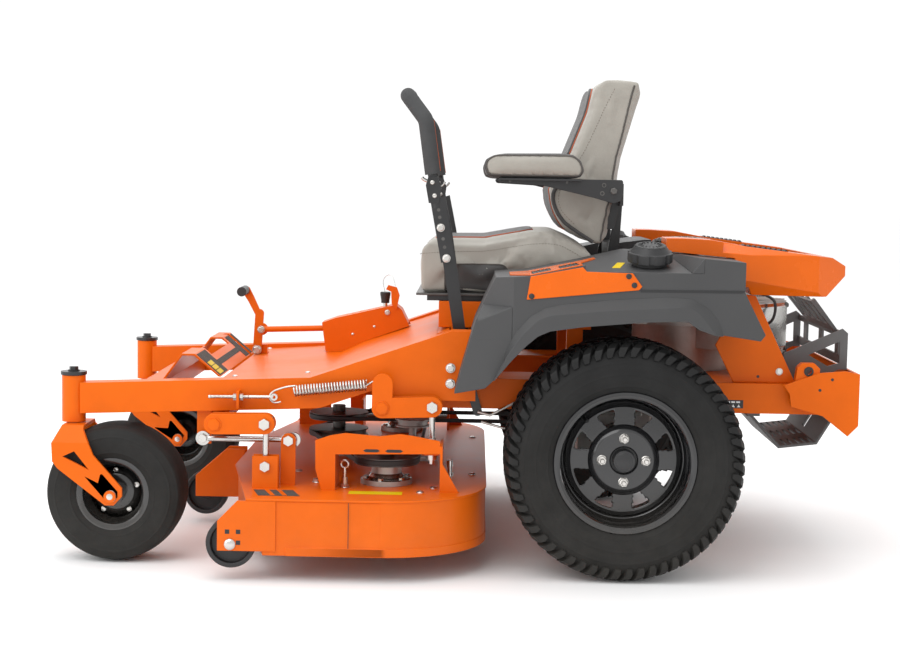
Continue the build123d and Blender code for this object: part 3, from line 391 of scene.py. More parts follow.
def lathed(name, parts, material, body, angle=30.0):
    """One piece turned from parts, each (centre, axis, profile, steps)."""
    bm = bmesh.new()
    for part in parts:
        add_lathe(bm, *part)
    return finish_piece(name, bm, material, body, 0, angle)


def tube(name, points, radius, material, body, smooth=True, cyclic=False):
    """A round bar or wire through machine-frame points."""
    curve = bpy.data.curves.new(name, "CURVE")
    curve.dimensions = "3D"
    curve.bevel_depth = radius * MM
    curve.bevel_resolution = 3
    curve.resolution_u = 10
    curve.use_fill_caps = True
    spline = curve.splines.new("NURBS" if smooth else "POLY")
    spline.points.add(len(points) - 1)
    for p, q in zip(spline.points, points):
        p.co = (*at(*q), 1)
    if smooth:
        spline.order_u = 3
        spline.use_endpoint_u = not cyclic
    spline.use_cyclic_u = cyclic
    helper = put(name, curve)
    graph = bpy.context.evaluated_depsgraph_get()
    mesh = bpy.data.meshes.new_from_object(helper.evaluated_get(graph))
    bpy.data.objects.remove(helper)
    piece = put(name, mesh)
    mesh.materials.clear()
    mesh.materials.append(M[material])
    mesh.polygons.foreach_set("use_smooth", [True] * len(mesh.polygons))
    if body:
        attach(piece, body)
    return piece


def sides():
    """Each side's name, and the sign of Y on it."""
    return (("left", 1), ("right", -1))


def on_side(y, outline):
    """An outline of (x, z) as machine-frame points at one Y."""
    return [(x, y, z) for x, z in outline]


def turned(bm, build, count, centre, axis, first=0.0):
    """Repeats what build(bm) adds, turned count times round an axis."""
    for i in range(count):
        start = len(bm.verts)
        build(bm)
        bm.verts.ensure_lookup_table()
        spin = Matrix.Rotation(first + 2 * pi * i / count, 4, Vector(axis))
        middle = at(*centre)
        for v in bm.verts[start:]:
            v.co = middle + spin @ (v.co - middle)


# ---------------------------------------------------------------- stage
def make_stage():
    """A pale studio floor, white surroundings and four soft lights."""
    floor = bpy.data.meshes.new("floor")
    size = 60.0
    floor.from_pydata([(-size, -size, 0), (size, -size, 0), (size, size, 0), (-size, size, 0)], [],
                      [(0, 1, 2, 3)])
    ground = put("floor", floor)
    paint = bpy.data.materials.new("studio_floor")
    paint.use_nodes = True
    tree = paint.node_tree
    shader = tree.nodes["Principled BSDF"]
    mottle = node(tree, "ShaderNodeTexNoise", Scale=3.0)
    ramp = node(tree, "ShaderNodeValToRGB")
    ramp.color_ramp.elements[0].color = (0.95, 0.95, 0.95, 1)
    ramp.color_ramp.elements[1].color = (0.97, 0.97, 0.97, 1)
    tree.links.new(mottle.outputs["Fac"], ramp.inputs["Fac"])
    tree.links.new(ramp.outputs["Color"], shader.inputs["Base Color"])
    shader.inputs["Roughness"].default_value = 0.75
    floor.materials.append(paint)
    world = bpy.data.worlds.new("studio")
    bpy.context.scene.world = world
    world.use_nodes = True
    world.node_tree.nodes["Background"].inputs["Color"].default_value = (1.0, 1.0, 1.0, 1)
    world.node_tree.nodes["Background"].inputs["Strength"].default_value = 1.06
    bpy.context.scene.view_settings.view_transform = "Standard"
    for name, place, power, width in (
            ("key", (1.6, 3.2, 4.2), 70, 3.2), ("fill", (3.8, 2.4, 2.0), 35, 2.6),
            ("top", (0.0, -0.4, 4.4), 60, 3.5), ("back", (0.6, -3.8, 2.6), 20, 2.6)):
        data = bpy.data.lights.new(name, "AREA")
        data.energy = power
        data.size = width
        light = put(name, data)
        light.location = place
        light.rotation_euler = (Vector((0, 0, 0.5)) - Vector(place)).to_track_quat("-Z", "Y").to_euler()


# ---------------------------------------------------------------- drive wheels
TREAD_ROWS = 58  # lugs round the drive tyre
TYRE_R, TYRE_HALF = 279.5, 120.5


def tyre_profile(outer, half, bead_r, bead_y, tread_drop, rings):
    """Half section of a tyre as (radius, along) from bead to bead, with raised rings on the flanks."""
    shoulder_r = outer * 0.915
    side = []
    count = 26
    for i in range(count + 1):
        s = i / count
        r = bead_r + 2 + (shoulder_r - bead_r - 2) * s
        swell = sin(min(1.0, s * 2.4) * pi / 2)
        y = bead_y + (half - bead_y) * swell
        fall = max(0.0, (s - 0.62) / 0.38)
        y -= 0.12 * half * fall ** 2
        for ring_r, width, height in rings:
            if abs(r - ring_r) < width:
                y += height
        side.append((r, y * 0.995))
    crown = []
    for i in range(1, 8):
        s = i / 8
        y = side[-1][1] * cos(s * pi / 2)
        crown.append((shoulder_r + (outer * 0.085 - tread_drop) * sin(s * pi / 2) ** 0.9, y))
    crown.append((outer - tread_drop, 0.0))
    left = side + crown
    right = [(r, -y) for r, y in reversed(left[:-1])]
    bead = [(bead_r, -bead_y), (bead_r, bead_y)]
    return left + right + bead


def drive_tyre(name, s):
    """A drive tyre: ringed flanks, two rows of shoulder lugs and five rows of blocks."""
    centre = (0, s * REAR_Y, REAR_Z)
    bm = bmesh.new()
    rings = ((178, 2.2, 1.4), (206, 1.5, 1.2), (231, 1.8, 1.5))
    add_lathe(bm, centre, AXLE, tyre_profile(TYRE_R, TYRE_HALF - 1.5, 152.5, 100.5, 9.0, rings), 144)
    carcass = len(bm.faces)
    half_pitch = pi / TREAD_ROWS
    for side in (1, -1):
        turned(bm, lambda b: tread_lug(b, centre, side), TREAD_ROWS, centre, AXLE)
        turned(bm, lambda b: tread_block(b, centre, side, 58, 84, 0.010), TREAD_ROWS, centre, AXLE,
               half_pitch)
        turned(bm, lambda b: tread_block(b, centre, side, 30, 54, -0.010), TREAD_ROWS, centre, AXLE)
    turned(bm, lambda b: tread_block(b, centre, 1, -14, 14, 0.008), TREAD_ROWS, centre, AXLE, half_pitch)
    for i, f in enumerate(bm.faces):
        f.material_index = int(i >= carcass)
    piece = finish_piece("drive_tyre_" + name, bm, ("tyre", "tread"), "rear_wheel_" + name, 0, 34)
    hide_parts("rear_tyre_" + name)


def on_tread(centre, radius, along, angle):
    """A point of the row frame on a wheel: its radius, its place along the axle and its angle."""
    return at(centre[0], centre[1] + along, centre[2]) + Vector((cos(angle), 0, sin(angle))) * radius * MM


def tread_lug(bm, centre, side):
    """A long shoulder lug that curves from the flank up onto the crown."""
    pitch = 2 * pi / TREAD_ROWS
    path = ((246, 112.0, -0.10), (257, 113.0, -0.02), (267, 108.0, 0.16), (273.5, 99.0, 0.38),
            (276.5, 88.0, 0.62))
    half_angle = (0.20, 0.29, 0.31, 0.29, 0.22)
    rings = []
    for i, ((r, y, lean), w) in enumerate(zip(path, half_angle)):
        sunk = max(r - 14, 236)
        inner_y = y - (9 if i < 3 else 3)
        lift = 3.2 if i < 3 else 0.0
        quad = []
        for edge in (-1, 1):
            quad.append(on_tread(centre, r, side * (y + lift), pitch * (lean + edge * w)))
        for edge in (1, -1):
            quad.append(on_tread(centre, sunk, side * inner_y, pitch * (lean + edge * w * 1.25)))
        rings.append(add_ring(bm, quad))
    add_closed(bm, rings)


def tread_block(bm, centre, side, y0, y1, skew):
    """A block on the crown between two distances from the middle."""
    half_width, foot = 5.28, 9.5
    rings = []
    for y, shift in ((y0, -skew), ((y0 + y1) / 2, 0.0), (y1, skew)):
        crown = TYRE_R - 1.0 - 3.4 * (abs(y) / 84) ** 2
        rings.append(add_ring(bm, [
            on_tread(centre, r, side * y, shift * 3 + edge * w / TYRE_R)
            for r, w, edges in ((crown, half_width, (-1, 1)), (crown - foot, half_width * 1.2, (1, -1)))
            for edge in edges]))
    add_closed(bm, rings)


def drive_rim(name, s):
    """The black steel rim: rolled edges, stepped barrel, dished disc with eight windows, hub and nuts."""
    body = "rear_wheel_" + name
    centre = (0, s * REAR_Y, REAR_Z)
    axis = (0, s, 0)
    barrel = [(148, 104), (150, 109), (156, 111.5), (163, 110.5), (166, 107), (165.5, 103), (163, 102),
              (154.5, 101.5), (152.2, 98), (152.2, 60), (139.5, 34), (138.5, -52), (152, -70),
              (152.2, -98), (165, -102), (165.5, -107), (160, -111), (150, -109), (148, -104), (147, -72),
              (134, -54), (134, 28), (134.5, 36), (137, 39), (141, 41), (141.5, 44), (146, 52),
              (146.8, 60), (144.5, 64), (144.5, 69), (147, 73), (147.2, 96)]
    dish = lathed("rim_barrel_" + name, [(centre, axis, barrel, 128)], "rim", body, 26)
    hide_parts("rear_rim_" + name)
    rim_disc(name, s, centre, body)
    cap = [(CORE, 58), (25, 58), (26, 60), (26, 80), (24.5, 83), (22, 84), (20, 83.4), (18, 84.6),
           (CORE, 85)]
    lathed("hub_" + name, [(centre, axis, bar(66, 46, 59.9), 48), (centre, axis, cap, 48)], "black", body,
           30)
    lathed("axle_" + name, [(centre, axis, bar(17, -274, 46), 32)], "dark_steel", body)
    nuts = bmesh.new()
    for i in range(4):
        a = i * pi / 2
        base = (50.8 * cos(a), s * (REAR_Y + 66), REAR_Z + 50.8 * sin(a))
        add_lathe(nuts, base, axis, [(CORE, 0), (12.5, 0), (12.5, 1.6), (10.5, 3.2), (CORE, 3.2)], 28)
        add_hex(nuts, base, axis, 19, 2.6, 14, turn=0.3 * i)
        stud = [(CORE, 13), (5.6, 13), (5.9, 14.5), (5.6, 20), (4.4, 21.4), (CORE, 21.4)]
        add_lathe(nuts, base, axis, stud, 20)
    finish_piece("wheel_nuts_" + name, nuts, "zinc", body, 0, 28)
    stem = [(CORE, 0), (7, 0), (7, 5), (4, 9), (3.6, 24), (4.4, 25), (4.4, 33), (3, 34.5), (CORE, 34.5)]
    lathed("valve_" + name, [((96, s * (REAR_Y + 50), REAR_Z + 100), (-0.25, s, -0.25), stem, 20)], "tread",
           body)


def rim_disc(name, s, centre, body):
    """The dished disc, cut by eight windows, with a raised centre pad."""
    profile = [(31, 66), (67, 66), (72, 63.5), (82, 54), (100, 52.5), (122, 50), (130, 44), (135.5, 30),
               (136, 14)]
    windows, steps = 8, 22
    per = windows * steps
    bm = bmesh.new()
    radii = sample_line(profile, 4.0)
    grid = []
    for i in range(per):
        a = 2 * pi * i / per
        grid.append([bm.verts.new(at(centre[0] + r * cos(a), centre[1] + s * t, centre[2] + r * sin(a)))
                     for r, t in radii])
    for i in range(per):
        sector = 2 * pi * (i + 0.5) / per % (2 * pi / windows) - pi / windows
        for j in range(len(radii) - 1):
            r = (radii[j][0] + radii[j + 1][0]) / 2
            half = 8 + (r - 84) * 0.44
            if 84 < r < 117 and abs(sector * r) < half:
                continue
            a, b = grid[i], grid[(i + 1) % per]
            bm.faces.new((a[j], b[j], b[j + 1], a[j + 1]))
    bmesh.ops.delete(bm, geom=[v for v in bm.verts if not v.link_faces], context="VERTS")
    disc = finish_piece("rim_disc_" + name, bm, "rim", body, 0, 26)
    disc.modifiers.new("thick", "SOLIDIFY").thickness = 0.004
    disc.modifiers["thick"].offset = 0


def sample_line(points, step):
    """Points along a polyline no further apart than step."""
    made = [points[0]]
    for (r0, t0), (r1, t1) in zip(points, points[1:]):
        count = max(1, int(sqrt((r1 - r0) ** 2 + (t1 - t0) ** 2) / step))
        made += [(r0 + (r1 - r0) * (i + 1) / count, t0 + (t1 - t0) * (i + 1) / count) for i in range(count)]
    return made


# ---------------------------------------------------------------- casters
def caster_wheel(name, s):
    """A front wheel: ribbed tyre, one-piece rim with its hub tube, and five bolts."""
    body = "caster_wheel_" + name
    centre = (CASTER_X, s * CASTER_Y, CASTER_Z)
    axis = (0, s, 0)
    rings = ((99, 1.3, 1.2), (118, 1.0, 0.9), (137, 1.2, 1.2))
    ribs = []
    for r, y in tyre_profile(164.6, 73.6, 75.5, 60.5, 0.4, rings):
        groove = 2.6 if r > 160 and any(abs(abs(y) - g) < 4 for g in (12, 34)) else 0.0
        ribs.append((r - groove, y))
    tyre = lathed("caster_tyre_skin_" + name, [(centre, axis, ribs, 112)], "tyre", body, 32)
    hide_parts("caster_tyre_" + name)
    barrel = [(86, 66.5), (88.5, 64), (88, 61), (76, 60.8), (75.2, 57), (75.2, 40), (66, 29), (66, -29),
              (75.2, -40), (75.2, -57), (76, -60.8), (88, -61), (88.5, -64), (86, -66.5), (80, -66.5),
              (72.5, -63), (72, -42), (62, -31), (62, 31), (72, 42), (72.5, 63), (80, 66.5)]
    disc = [(24, 34), (40, 34), (46, 31), (62, 13), (64, 6), (60, 6), (42, 28), (38, 29.5), (24, 29.5)]
    hub = [(9, 79), (25, 79), (26, 78), (26, -78), (25, -79), (9, -79)]
    rim = lathed("caster_rim_skin_" + name, [(centre, axis, barrel, 96), (centre, axis, disc, 96),
                                             (centre, axis, hub, 40)], "rim", body, 28)
    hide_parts("caster_rim_" + name)
    bolts = bmesh.new()
    for i in range(5):
        a = 2 * pi * i / 5 + 0.3
        add_bolt(bolts, (CASTER_X + 52 * cos(a), s * (CASTER_Y + 26), CASTER_Z + 52 * sin(a)), axis, 9, 5)
    finish_piece("caster_rim_bolts_" + name, bolts, "zinc", body)


def fork_finish(x, y, z, normal):
    """Which finish a face of a caster fork wears: 1 for the black top cap, 2 for the zinc stem."""
    off_axis = sqrt((x - STEM_X) ** 2 + (abs(y) - CASTER_Y) ** 2)
    if z > 440 and off_axis < 40:
        return 1
    return 2 if 327.5 < z < 440.5 and off_axis < 20 else 0


def caster_fork(name, s):
    """A fork in its finishes, and the round heads on both ends of its wheel's axle."""
    refine("caster_fork_" + name, ("orange", "black", "zinc"), 1.4, "frame_paint", fork_finish)
    for side in (1, -1):
        label = "out" if side == s else "in"
        end = (CASTER_X, s * CASTER_Y + side * 92.2, CASTER_Z)
        fixings("caster_axle_end_%s_%s" % (name, label), "caster_" + name, [(end, (0, side, 0), 14.8, 9.6)])


def make_wheels():
    """The drive wheels and the casters."""
    for name, s in sides():
        drive_tyre(name, s)
        drive_rim(name, s)
        caster_wheel(name, s)
        caster_fork(name, s)


# ---------------------------------------------------------------- soft goods
SIM_FRAMES = 20


def foam_block(name, outline, y0, y1, material, rounding, voxel=0.0065):
    """A remeshed, edge-softened block of foam, ready to be inflated."""
    bm = bmesh.new()
    add_plate(bm, outline, y0, y1)
    piece = finish_piece(name, bm, material, None)
    bpy.context.view_layer.objects.active = piece
    piece.select_set(True)
    piece.data.remesh_voxel_size = voxel
    bpy.ops.object.voxel_remesh()
    piece.select_set(False)
    soften = piece.modifiers.new("soften", "SMOOTH")
    soften.iterations = rounding
    soften.factor = 0.6
    bake(piece)
    return piece


def bake(piece):
    """Applies every modifier on the piece to its mesh."""
    graph = bpy.context.evaluated_depsgraph_get()
    mesh = bpy.data.meshes.new_from_object(piece.evaluated_get(graph))
    piece.modifiers.clear()
    piece.data = mesh
    mesh.polygons.foreach_set("use_smooth", [True] * len(mesh.polygons))


def inflate(jobs):
    """Blows the foam blocks up like cushions under cloth pressure; jobs are (piece, cap in mm)."""
    scene = bpy.context.scene
    rest = {piece.name: [v.co.copy() for v in piece.data.vertices] for piece, _ in jobs}
    for piece, _ in jobs:
        cover = piece.modifiers.new("cover", "CLOTH")
        cover.settings.use_pressure = True
        cover.settings.uniform_pressure_force = 4.0
        cover.settings.effector_weights.gravity = 0.0
        cover.settings.mass = 0.25
        cover.settings.tension_stiffness = 12.0
        cover.settings.compression_stiffness = 12.0
        cover.settings.bending_stiffness = 0.6
        cover.collision_settings.use_collision = False
        cover.point_cache.frame_start, cover.point_cache.frame_end = 1, SIM_FRAMES
    for step in range(1, SIM_FRAMES + 1):
        scene.frame_set(step)
    for piece, cap in jobs:
        bake(piece)
        for v, start in zip(piece.data.vertices, rest[piece.name]):
            move = v.co - start
            if move.length > cap * MM:
                v.co = start + move.normalized() * cap * MM
    scene.frame_set(1)
    for piece, _ in jobs:
        fine = piece.modifiers.new("fine", "SUBSURF")
        fine.levels = fine.render_levels = 1
        bake(piece)


def shape_of(piece):
    """A tree to cast rays at, from a piece's mesh."""
    bm = bmesh.new()
    bm.from_mesh(piece.data)
    tree = BVHTree.FromBMesh(bm)
    bm.free()
    return tree


def smooth_line(points, step, closed=False):
    """Evenly spaced points on a smooth curve through hand-set points."""
    pts = [Vector(p) for p in points]
    count = len(pts)
    made = []
    for i in range(count if closed else count - 1):
        p1, p2 = pts[i], pts[(i + 1) % count]
        p0 = pts[(i - 1) % count] if closed or i else p1 * 2 - p2
        p3 = pts[(i + 2) % count] if closed or i < count - 2 else p2 * 2 - p1
        parts = max(1, int((p2 - p1).length / step))
        for k in range(parts):
            t = k / parts
            made.append(0.5 * ((2 * p1) + (p2 - p0) * t + (2 * p0 - 5 * p1 + 4 * p2 - p3) * t * t
                               + (3 * p1 - p0 - 3 * p2 + p3) * t ** 3))
    if not closed:
        made.append(pts[-1])
    return made


def laid(points, shape, proud=0.0, along=None):
    """Points moved onto a shape: along a direction if one is given, else to the nearest place."""
    made = []
    for p in points:
        if along is not None:
            hit, normal, _, _ = shape.ray_cast(p - along * 0.2, along)
        else:
            hit, normal, _, _ = shape.find_nearest(p)
        made.append(hit + normal * proud * MM if hit else p)
    return made


def add_pipe(bm, path, radius, closed=False, corners=8):
    """A round cord of mesh along points that are already in metres."""
    count = len(path)
    rings = []
    lean = None
    for i, p in enumerate(path):
        before = path[i - 1] if i or closed else p
        after = path[(i + 1) % count] if i < count - 1 or closed else p
        ahead = (after - before).normalized()
        if lean is None:
            lean = ahead.orthogonal().normalized()
        lean = (lean - ahead * lean.dot(ahead)).normalized()
        other = ahead.cross(lean)
        turns = [2 * pi * k / corners for k in range(corners)]
        rings.append(add_ring(bm, [p + (lean * cos(a) + other * sin(a)) * radius * MM for a in turns]))
    if closed:
        for a, b in zip(rings, rings[1:] + rings[:1]):
            bridge(bm, a, b)
    else:
        add_closed(bm, rings)


def piping(name, points, shape, radius, material, body, closed=False, along=None, sunk=0.35):
    """A cord laid on a shape, sunk into it by that share of its diameter."""
    path = laid(smooth_line([at(*p) for p in points], 0.007, closed), shape, radius * (1 - 2 * sunk), along)
    bm = bmesh.new()
    add_pipe(bm, path, radius, closed)
    return finish_piece(name, bm, material, body, 0, 60)


def stitches(name, points, shape, body, along):
    """A seam: a row of short stitches, each bent a little."""
    path = laid(smooth_line([at(*p) for p in points], 0.0035), shape, 0.2, along)
    bm = bmesh.new()
    for a, b in zip(path[:-1:2], path[1::2]):
        add_pipe(bm, [a, (a + b) / 2 + (b - a).orthogonal().normalized() * 0.0002, b], 0.75, corners=5)
    return finish_piece(name, bm, "thread", body, 0, 60)


def rounded(outline, radius, parts=5):
    """A polygon with its corners rounded, as 2-D points."""
    pts = [Vector((p[0], p[1], 0)) for p in outline]
    made = []
    for i, p in enumerate(pts):
        a, b = pts[i - 1] - p, pts[(i + 1) % len(pts)] - p
        cut = min(radius, 0.45 * a.length, 0.45 * b.length)
        start, end = p + a.normalized() * cut, p + b.normalized() * cut
        for k in range(parts + 1):
            t = k / parts
            q = start * (1 - t) ** 2 + p * 2 * t * (1 - t) + end * t * t
            made.append((q.x, q.y))
    return made


def add_panel(bm, corners, shape, along, proud, grid=0.008):
    """A convex patch laid on a shape: corners are points in metres, in order round it."""
    along = Vector(along).normalized()
    middle = sum(corners, Vector()) / len(corners)
    u = (corners[1] - corners[0]).normalized()
    u = (u - along * u.dot(along)).normalized()
    w = along.cross(u)
    flat = [((c - middle).dot(u), (c - middle).dot(w)) for c in corners]
    u0, u1 = min(p[0] for p in flat), max(p[0] for p in flat)
    w0, w1 = min(p[1] for p in flat), max(p[1] for p in flat)
    nu, nw = max(2, int((u1 - u0) / grid)), max(2, int((w1 - w0) / grid))
    patch = bmesh.new()
    rows = [[patch.verts.new((u0 + (u1 - u0) * i / nu, w0 + (w1 - w0) * j / nw, 0)) for j in range(nw + 1)]
            for i in range(nu + 1)]
    for i in range(nu):
        for j in range(nw):
            patch.faces.new((rows[i][j], rows[i + 1][j], rows[i + 1][j + 1], rows[i][j + 1]))
    area = sum(a[0] * b[1] - b[0] * a[1] for a, b in zip(flat, flat[1:] + flat[:1]))
    for a, b in zip(flat, flat[1:] + flat[:1]):
        edge = Vector((b[0] - a[0], b[1] - a[1], 0))
        if edge.length < 1e-6:
            continue
        out = Vector((edge.y, -edge.x, 0)) * (1 if area > 0 else -1)
        bmesh.ops.bisect_plane(patch, geom=patch.verts[:] + patch.edges[:] + patch.faces[:], dist=1e-6,
                               plane_co=(a[0], a[1], 0), plane_no=out, clear_outer=True)
    lookup = {}
    for v in patch.verts:
        p = middle + u * v.co.x + w * v.co.y
        hit = shape.ray_cast(p - along * 0.25, along)[0]
        place = hit - along * proud * MM if hit else p
        lookup[v] = bm.verts.new(place)
    for f in patch.faces:
        bm.faces.new([lookup[v] for v in f.verts])
    patch.free()


def panel(name, outline, shape, along, material, body, proud=1.5, thick=3.0, grid=0.008):
    """A sewn-on or bonded panel on a shape, from machine-frame corners."""
    bm = bmesh.new()
    add_panel(bm, [at(*p) for p in outline], shape, along, proud, grid)
    bmesh.ops.recalc_face_normals(bm, faces=bm.faces)
    facing = sum((f.normal * f.calc_area() for f in bm.faces), Vector())
    if facing.dot(Vector(along)) > 0:
        bmesh.ops.reverse_faces(bm, faces=bm.faces)
    made = finish_piece(name, bm, material, body, 0, 60, recalc=False)
    solid = made.modifiers.new("thick", "SOLIDIFY")
    solid.thickness = thick * MM
    solid.offset = -1


def inset(name, corners, shape, along, proud, thick, radius, cord="piping", sunk=0.1):
    """A dark panel sewn into the seat, with a cord round it that has _piping in place of %s in its name."""
    panel(name % "", corners, shape, along, "vinyl_dark", "seat", proud, thick)
    piping(name % "_piping", corners[::2], shape, radius, cord, "seat", True, Vector(along), sunk)


SEAT_SIDE = [(493, 640), (494, 745), (478, 762), (330, 764), (215, 785), (150, 786), (102, 767), (54, 738),
             (46, 640)]
BACK_SIDE = [(36, 762), (54, 760), (100, 791), (130, 810), (152, 834), (163, 858), (166, 886), (144, 928),
             (108, 988), (68, 1090), (52, 1160), (34, 1179), (-52, 1173), (-47, 1146), (-35, 1108),
             (0, 980), (14, 880)]


def make_seat():
    """The cushion, the back and the armrest pads, blown up together and then dressed."""
    cushion = foam_block("seat_cushion_cover", SEAT_SIDE, -247, 247, "vinyl", 10)
    back = foam_block("seat_back_cover", BACK_SIDE, -232, 232, "vinyl", 8)
    pads = {}
    pad_side = [(335, 955), (327, 930), (99, 930), (90, 946), (99, 970), (117, 984), (310, 981), (330, 970)]
    for name, s in sides():
        y0, y1 = sorted((s * 266, s * 328))
        pads[name] = foam_block("armrest_pad_" + name, pad_side, y0, y1, "vinyl_dark", 4, 0.004)
    inflate([(cushion, 11.0), (back, 9.0)] + [(p, 4.0) for p in pads.values()])
    for piece, node_name, fill in ((cushion, "seat_cushion", 0.8), (back, "seat_back", 0.75)):
        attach(piece, "seat")
        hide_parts(node_name)
    dress_cushion(shape_of(cushion))
    dress_back(shape_of(back))
    for name, s in sides():
        dress_armrest(name, s, pads[name])


def dress_cushion(shape):
    """Side seams, dark side panels, the dark top insert with its orange piping, and the foot strip."""
    for name, s in sides():
        inward = Vector((0, -s, 0))
        seam = [(488, 735), (420, 741), (330, 744), (262, 755), (205, 764), (150, 763), (108, 745), (62, 716)]
        stitches("cushion_seam_" + name, on_side(s * 262, seam), shape, "seat", inward)
        dark = rounded([(426, 640), (426, 711), (281, 711), (258, 686), (258, 640)], 10)
        inset("cushion_side%s_" + name, on_side(s * 262, dark), shape, inward, 1.2, 3.0, 1.8,
              "piping_dark", 0.35)
    top = rounded([(452, -165), (452, 165), (232, 175), (206, 130), (206, -130), (232, -175)], 34, 6)
    inset("cushion_insert%s", [(x, y, 800) for x, y in top], shape, (0, 0, -1), 3.0, 5.0, 1.6)
    for name, y in (("right", -60), ("left", 60)):
        channel = on_side(y, [(440, 800), (330, 800), (220, 800)])
        stitches("cushion_channel_" + name, channel, shape, "seat", Vector((0, 0, -1)))
    welt = [(485, y, 752) for y in range(-235, 236, 47)]
    stitches("cushion_front_seam", welt, shape, "seat", Vector((-1, 0, 0)))
    strip = rounded([(44, 632.2), (44, 638), (497, 638), (497, 632.2)], 2)
    plates("cushion_base_strip", [strip], -250, 250, "dark_steel", "seat", 1.0)


def dress_back(shape):
    """Piping and seams on the back's sides, and the two dark panels on its front."""
    for name, s in sides():
        rear = [(-36, 1161), (-27, 1122), (-14, 1050), (2, 960), (14, 870), (32, 770)]
        piping("back_rear_piping_" + name, on_side(s * 236, rear), shape, 2.4, "piping_dark", "seat")
        seam = [(14, 1150), (36, 1105), (60, 1050), (88, 990), (122, 938), (146, 890), (140, 850), (104, 812)]
        stitches("back_seam_" + name, on_side(s * 238, seam), shape, "seat", Vector((0, -s, 0)))
        low = [(150, 925), (162, 890), (158, 858), (138, 822), (104, 792), (62, 764)]
        piping("back_lower_piping_" + name, on_side(s * 234, low), shape, 5.0, "vinyl_dark", "seat")
    front = rounded([(985, -172), (985, 172), (1128, 150), (1146, 120), (1146, -120), (1128, -150)], 20, 5)
    lean = Vector((-1, 0, -0.35)).normalized()
    inset("back_insert%s", [(150 - 0.62 * (z - 960), y, z) for z, y in front], shape, lean, 7.0, 12.0, 1.7)
    lumbar = rounded([(800, -165), (800, 165), (925, 175), (925, -175)], 26, 5)
    inset("back_lumbar%s", [(200, y, z) for z, y in lumbar], shape, (-1, 0, 0), 2.5, 5.0, 1.5)


def dress_armrest(name, s, pad):
    """The pad's sewn side faces, its steel bracket and the fixings of both."""
    body = "armrest_" + name
    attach(pad, body)
    shape = shape_of(pad)
    face = [(329, 956), (322, 934), (102, 934), (95, 947), (102, 968), (119, 981), (309, 979), (325, 968)]
    face = rounded(face, 12, 4)
    for label, side in (("out", s), ("in", -s)):
        y = s * 297 + side * 40
        panel("armrest_face_%s_%s" % (name, label), on_side(y, face), shape, (0, -side, 0),
              "vinyl", body, 1.0, 3.0, 0.006)
        piping("armrest_piping_%s_%s" % (name, label), on_side(y, face[::2]), shape, 2.0,
               "piping_dark", body, True, Vector((0, -side, 0)), 0.2)
    bm = bmesh.new()
    blade = [(300, 925.5), (296, 914), (190, 909), (60, 880), (16, 867), (-2, 874), (-8, 890), (-6, 925.5)]
    add_plate(bm, rounded(blade, 6), s * 300 - 2, s * 300 + 2)
    add_plate(bm, rounded([(296, 920), (296, 925.8), (96, 925.8), (96, 920)], 1), s * 268, s * 326)
    add_lathe(bm, (16, s * 262, 898), (0, s, 0), sleeve(8.2, 13, 0, 37), 32)
    bracket = finish_piece("armrest_bracket_" + name, bm, "black", body, 0.8, 30)
    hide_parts("armrest_" + name)
    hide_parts("armrest_" + name)
    bolts = bmesh.new()
    for x, z in ((40, 912), (44, 892)):
        add_lathe(bolts, (x, s * 302, z), (0, s, 0), sleeve(3.2, 5.6, 0, 1.5), 20)
    for x in (270, 130):
        add_hex(bolts, (x, s * 297, 920), (0, 0, -1), 11, 0, 6)
    finish_piece("armrest_fixings_" + name, bolts, "dark_steel", body)
    nut = bmesh.new()
    add_hex(nut, (16, s * 300, 898), (0, s, 0), 15, 1.5, 8)
    finish_piece("armrest_pivot_nut_" + name, nut, "dark_steel", "seat")


# ---------------------------------------------------------------- fixings, labels and small parts
def spaced(points, count):
    """Points at equal steps along a line of machine-frame points."""
    line = [Vector(p) for p in points]
    lengths = [0.0]
    for a, b in zip(line, line[1:]):
        lengths.append(lengths[-1] + (b - a).length)
    out = []
    for i in range(count):
        want = lengths[-1] * i / (count - 1)
        j = max(k for k in range(len(line) - 1) if lengths[k] <= want + 1e-9)
        share = (want - lengths[j]) / (lengths[j + 1] - lengths[j])
        out.append(line[j].lerp(line[j + 1], min(1.0, share)))
    return out


def loft(name, edges, material, body, bevel, count=56):
    """A closed skin between edge lines that run side by side."""
    lines = [spaced(edge, count) for edge in edges]
    bm = bmesh.new()
    add_closed(bm, [add_ring(bm, [at(*line[i]) for line in lines]) for i in range(count)])
    return finish_piece(name, bm, material, body, bevel, 26)


def slab(name, corners, lift, material, body):
    """A thin flat sheet with these machine-frame corners, lift millimetres thick."""
    corners = [Vector(corner) for corner in corners]
    up = (corners[1] - corners[0]).cross(corners[2] - corners[1]).normalized()
    up = up if up.z > 0 else -up
    gap = 0.15  # the air between the sheet and what it lies on
    bm = bmesh.new()
    add_closed(bm, [add_ring(bm, [at(*(c + up * t)) for c in corners]) for t in (gap, lift + gap)])
    return finish_piece(name, bm, material, body, 0.2, 40)


def hull(name, points, s, material, body, bevel):
    """The convex solid round machine-frame points, given for the left side."""
    bm = bmesh.new()
    for x, y, z in points:
        bm.verts.new(at(x, s * y, z))
    bmesh.ops.convex_hull(bm, input=bm.verts)
    return finish_piece(name, bm, material, body, bevel, 20)


def fixings(name, body, bolts, material="zinc"):
    """Bolt heads: each is (centre, axis, across) or, for a round head, (centre, axis, radius, height)."""
    bm = bmesh.new()
    for entry in bolts:
        if len(entry) == 3:
            add_bolt(bm, entry[0], entry[1], entry[2], entry[2] * 0.55)
        else:
            add_dome(bm, *entry)
    return finish_piece(name, bm, material, body, 0, 30)


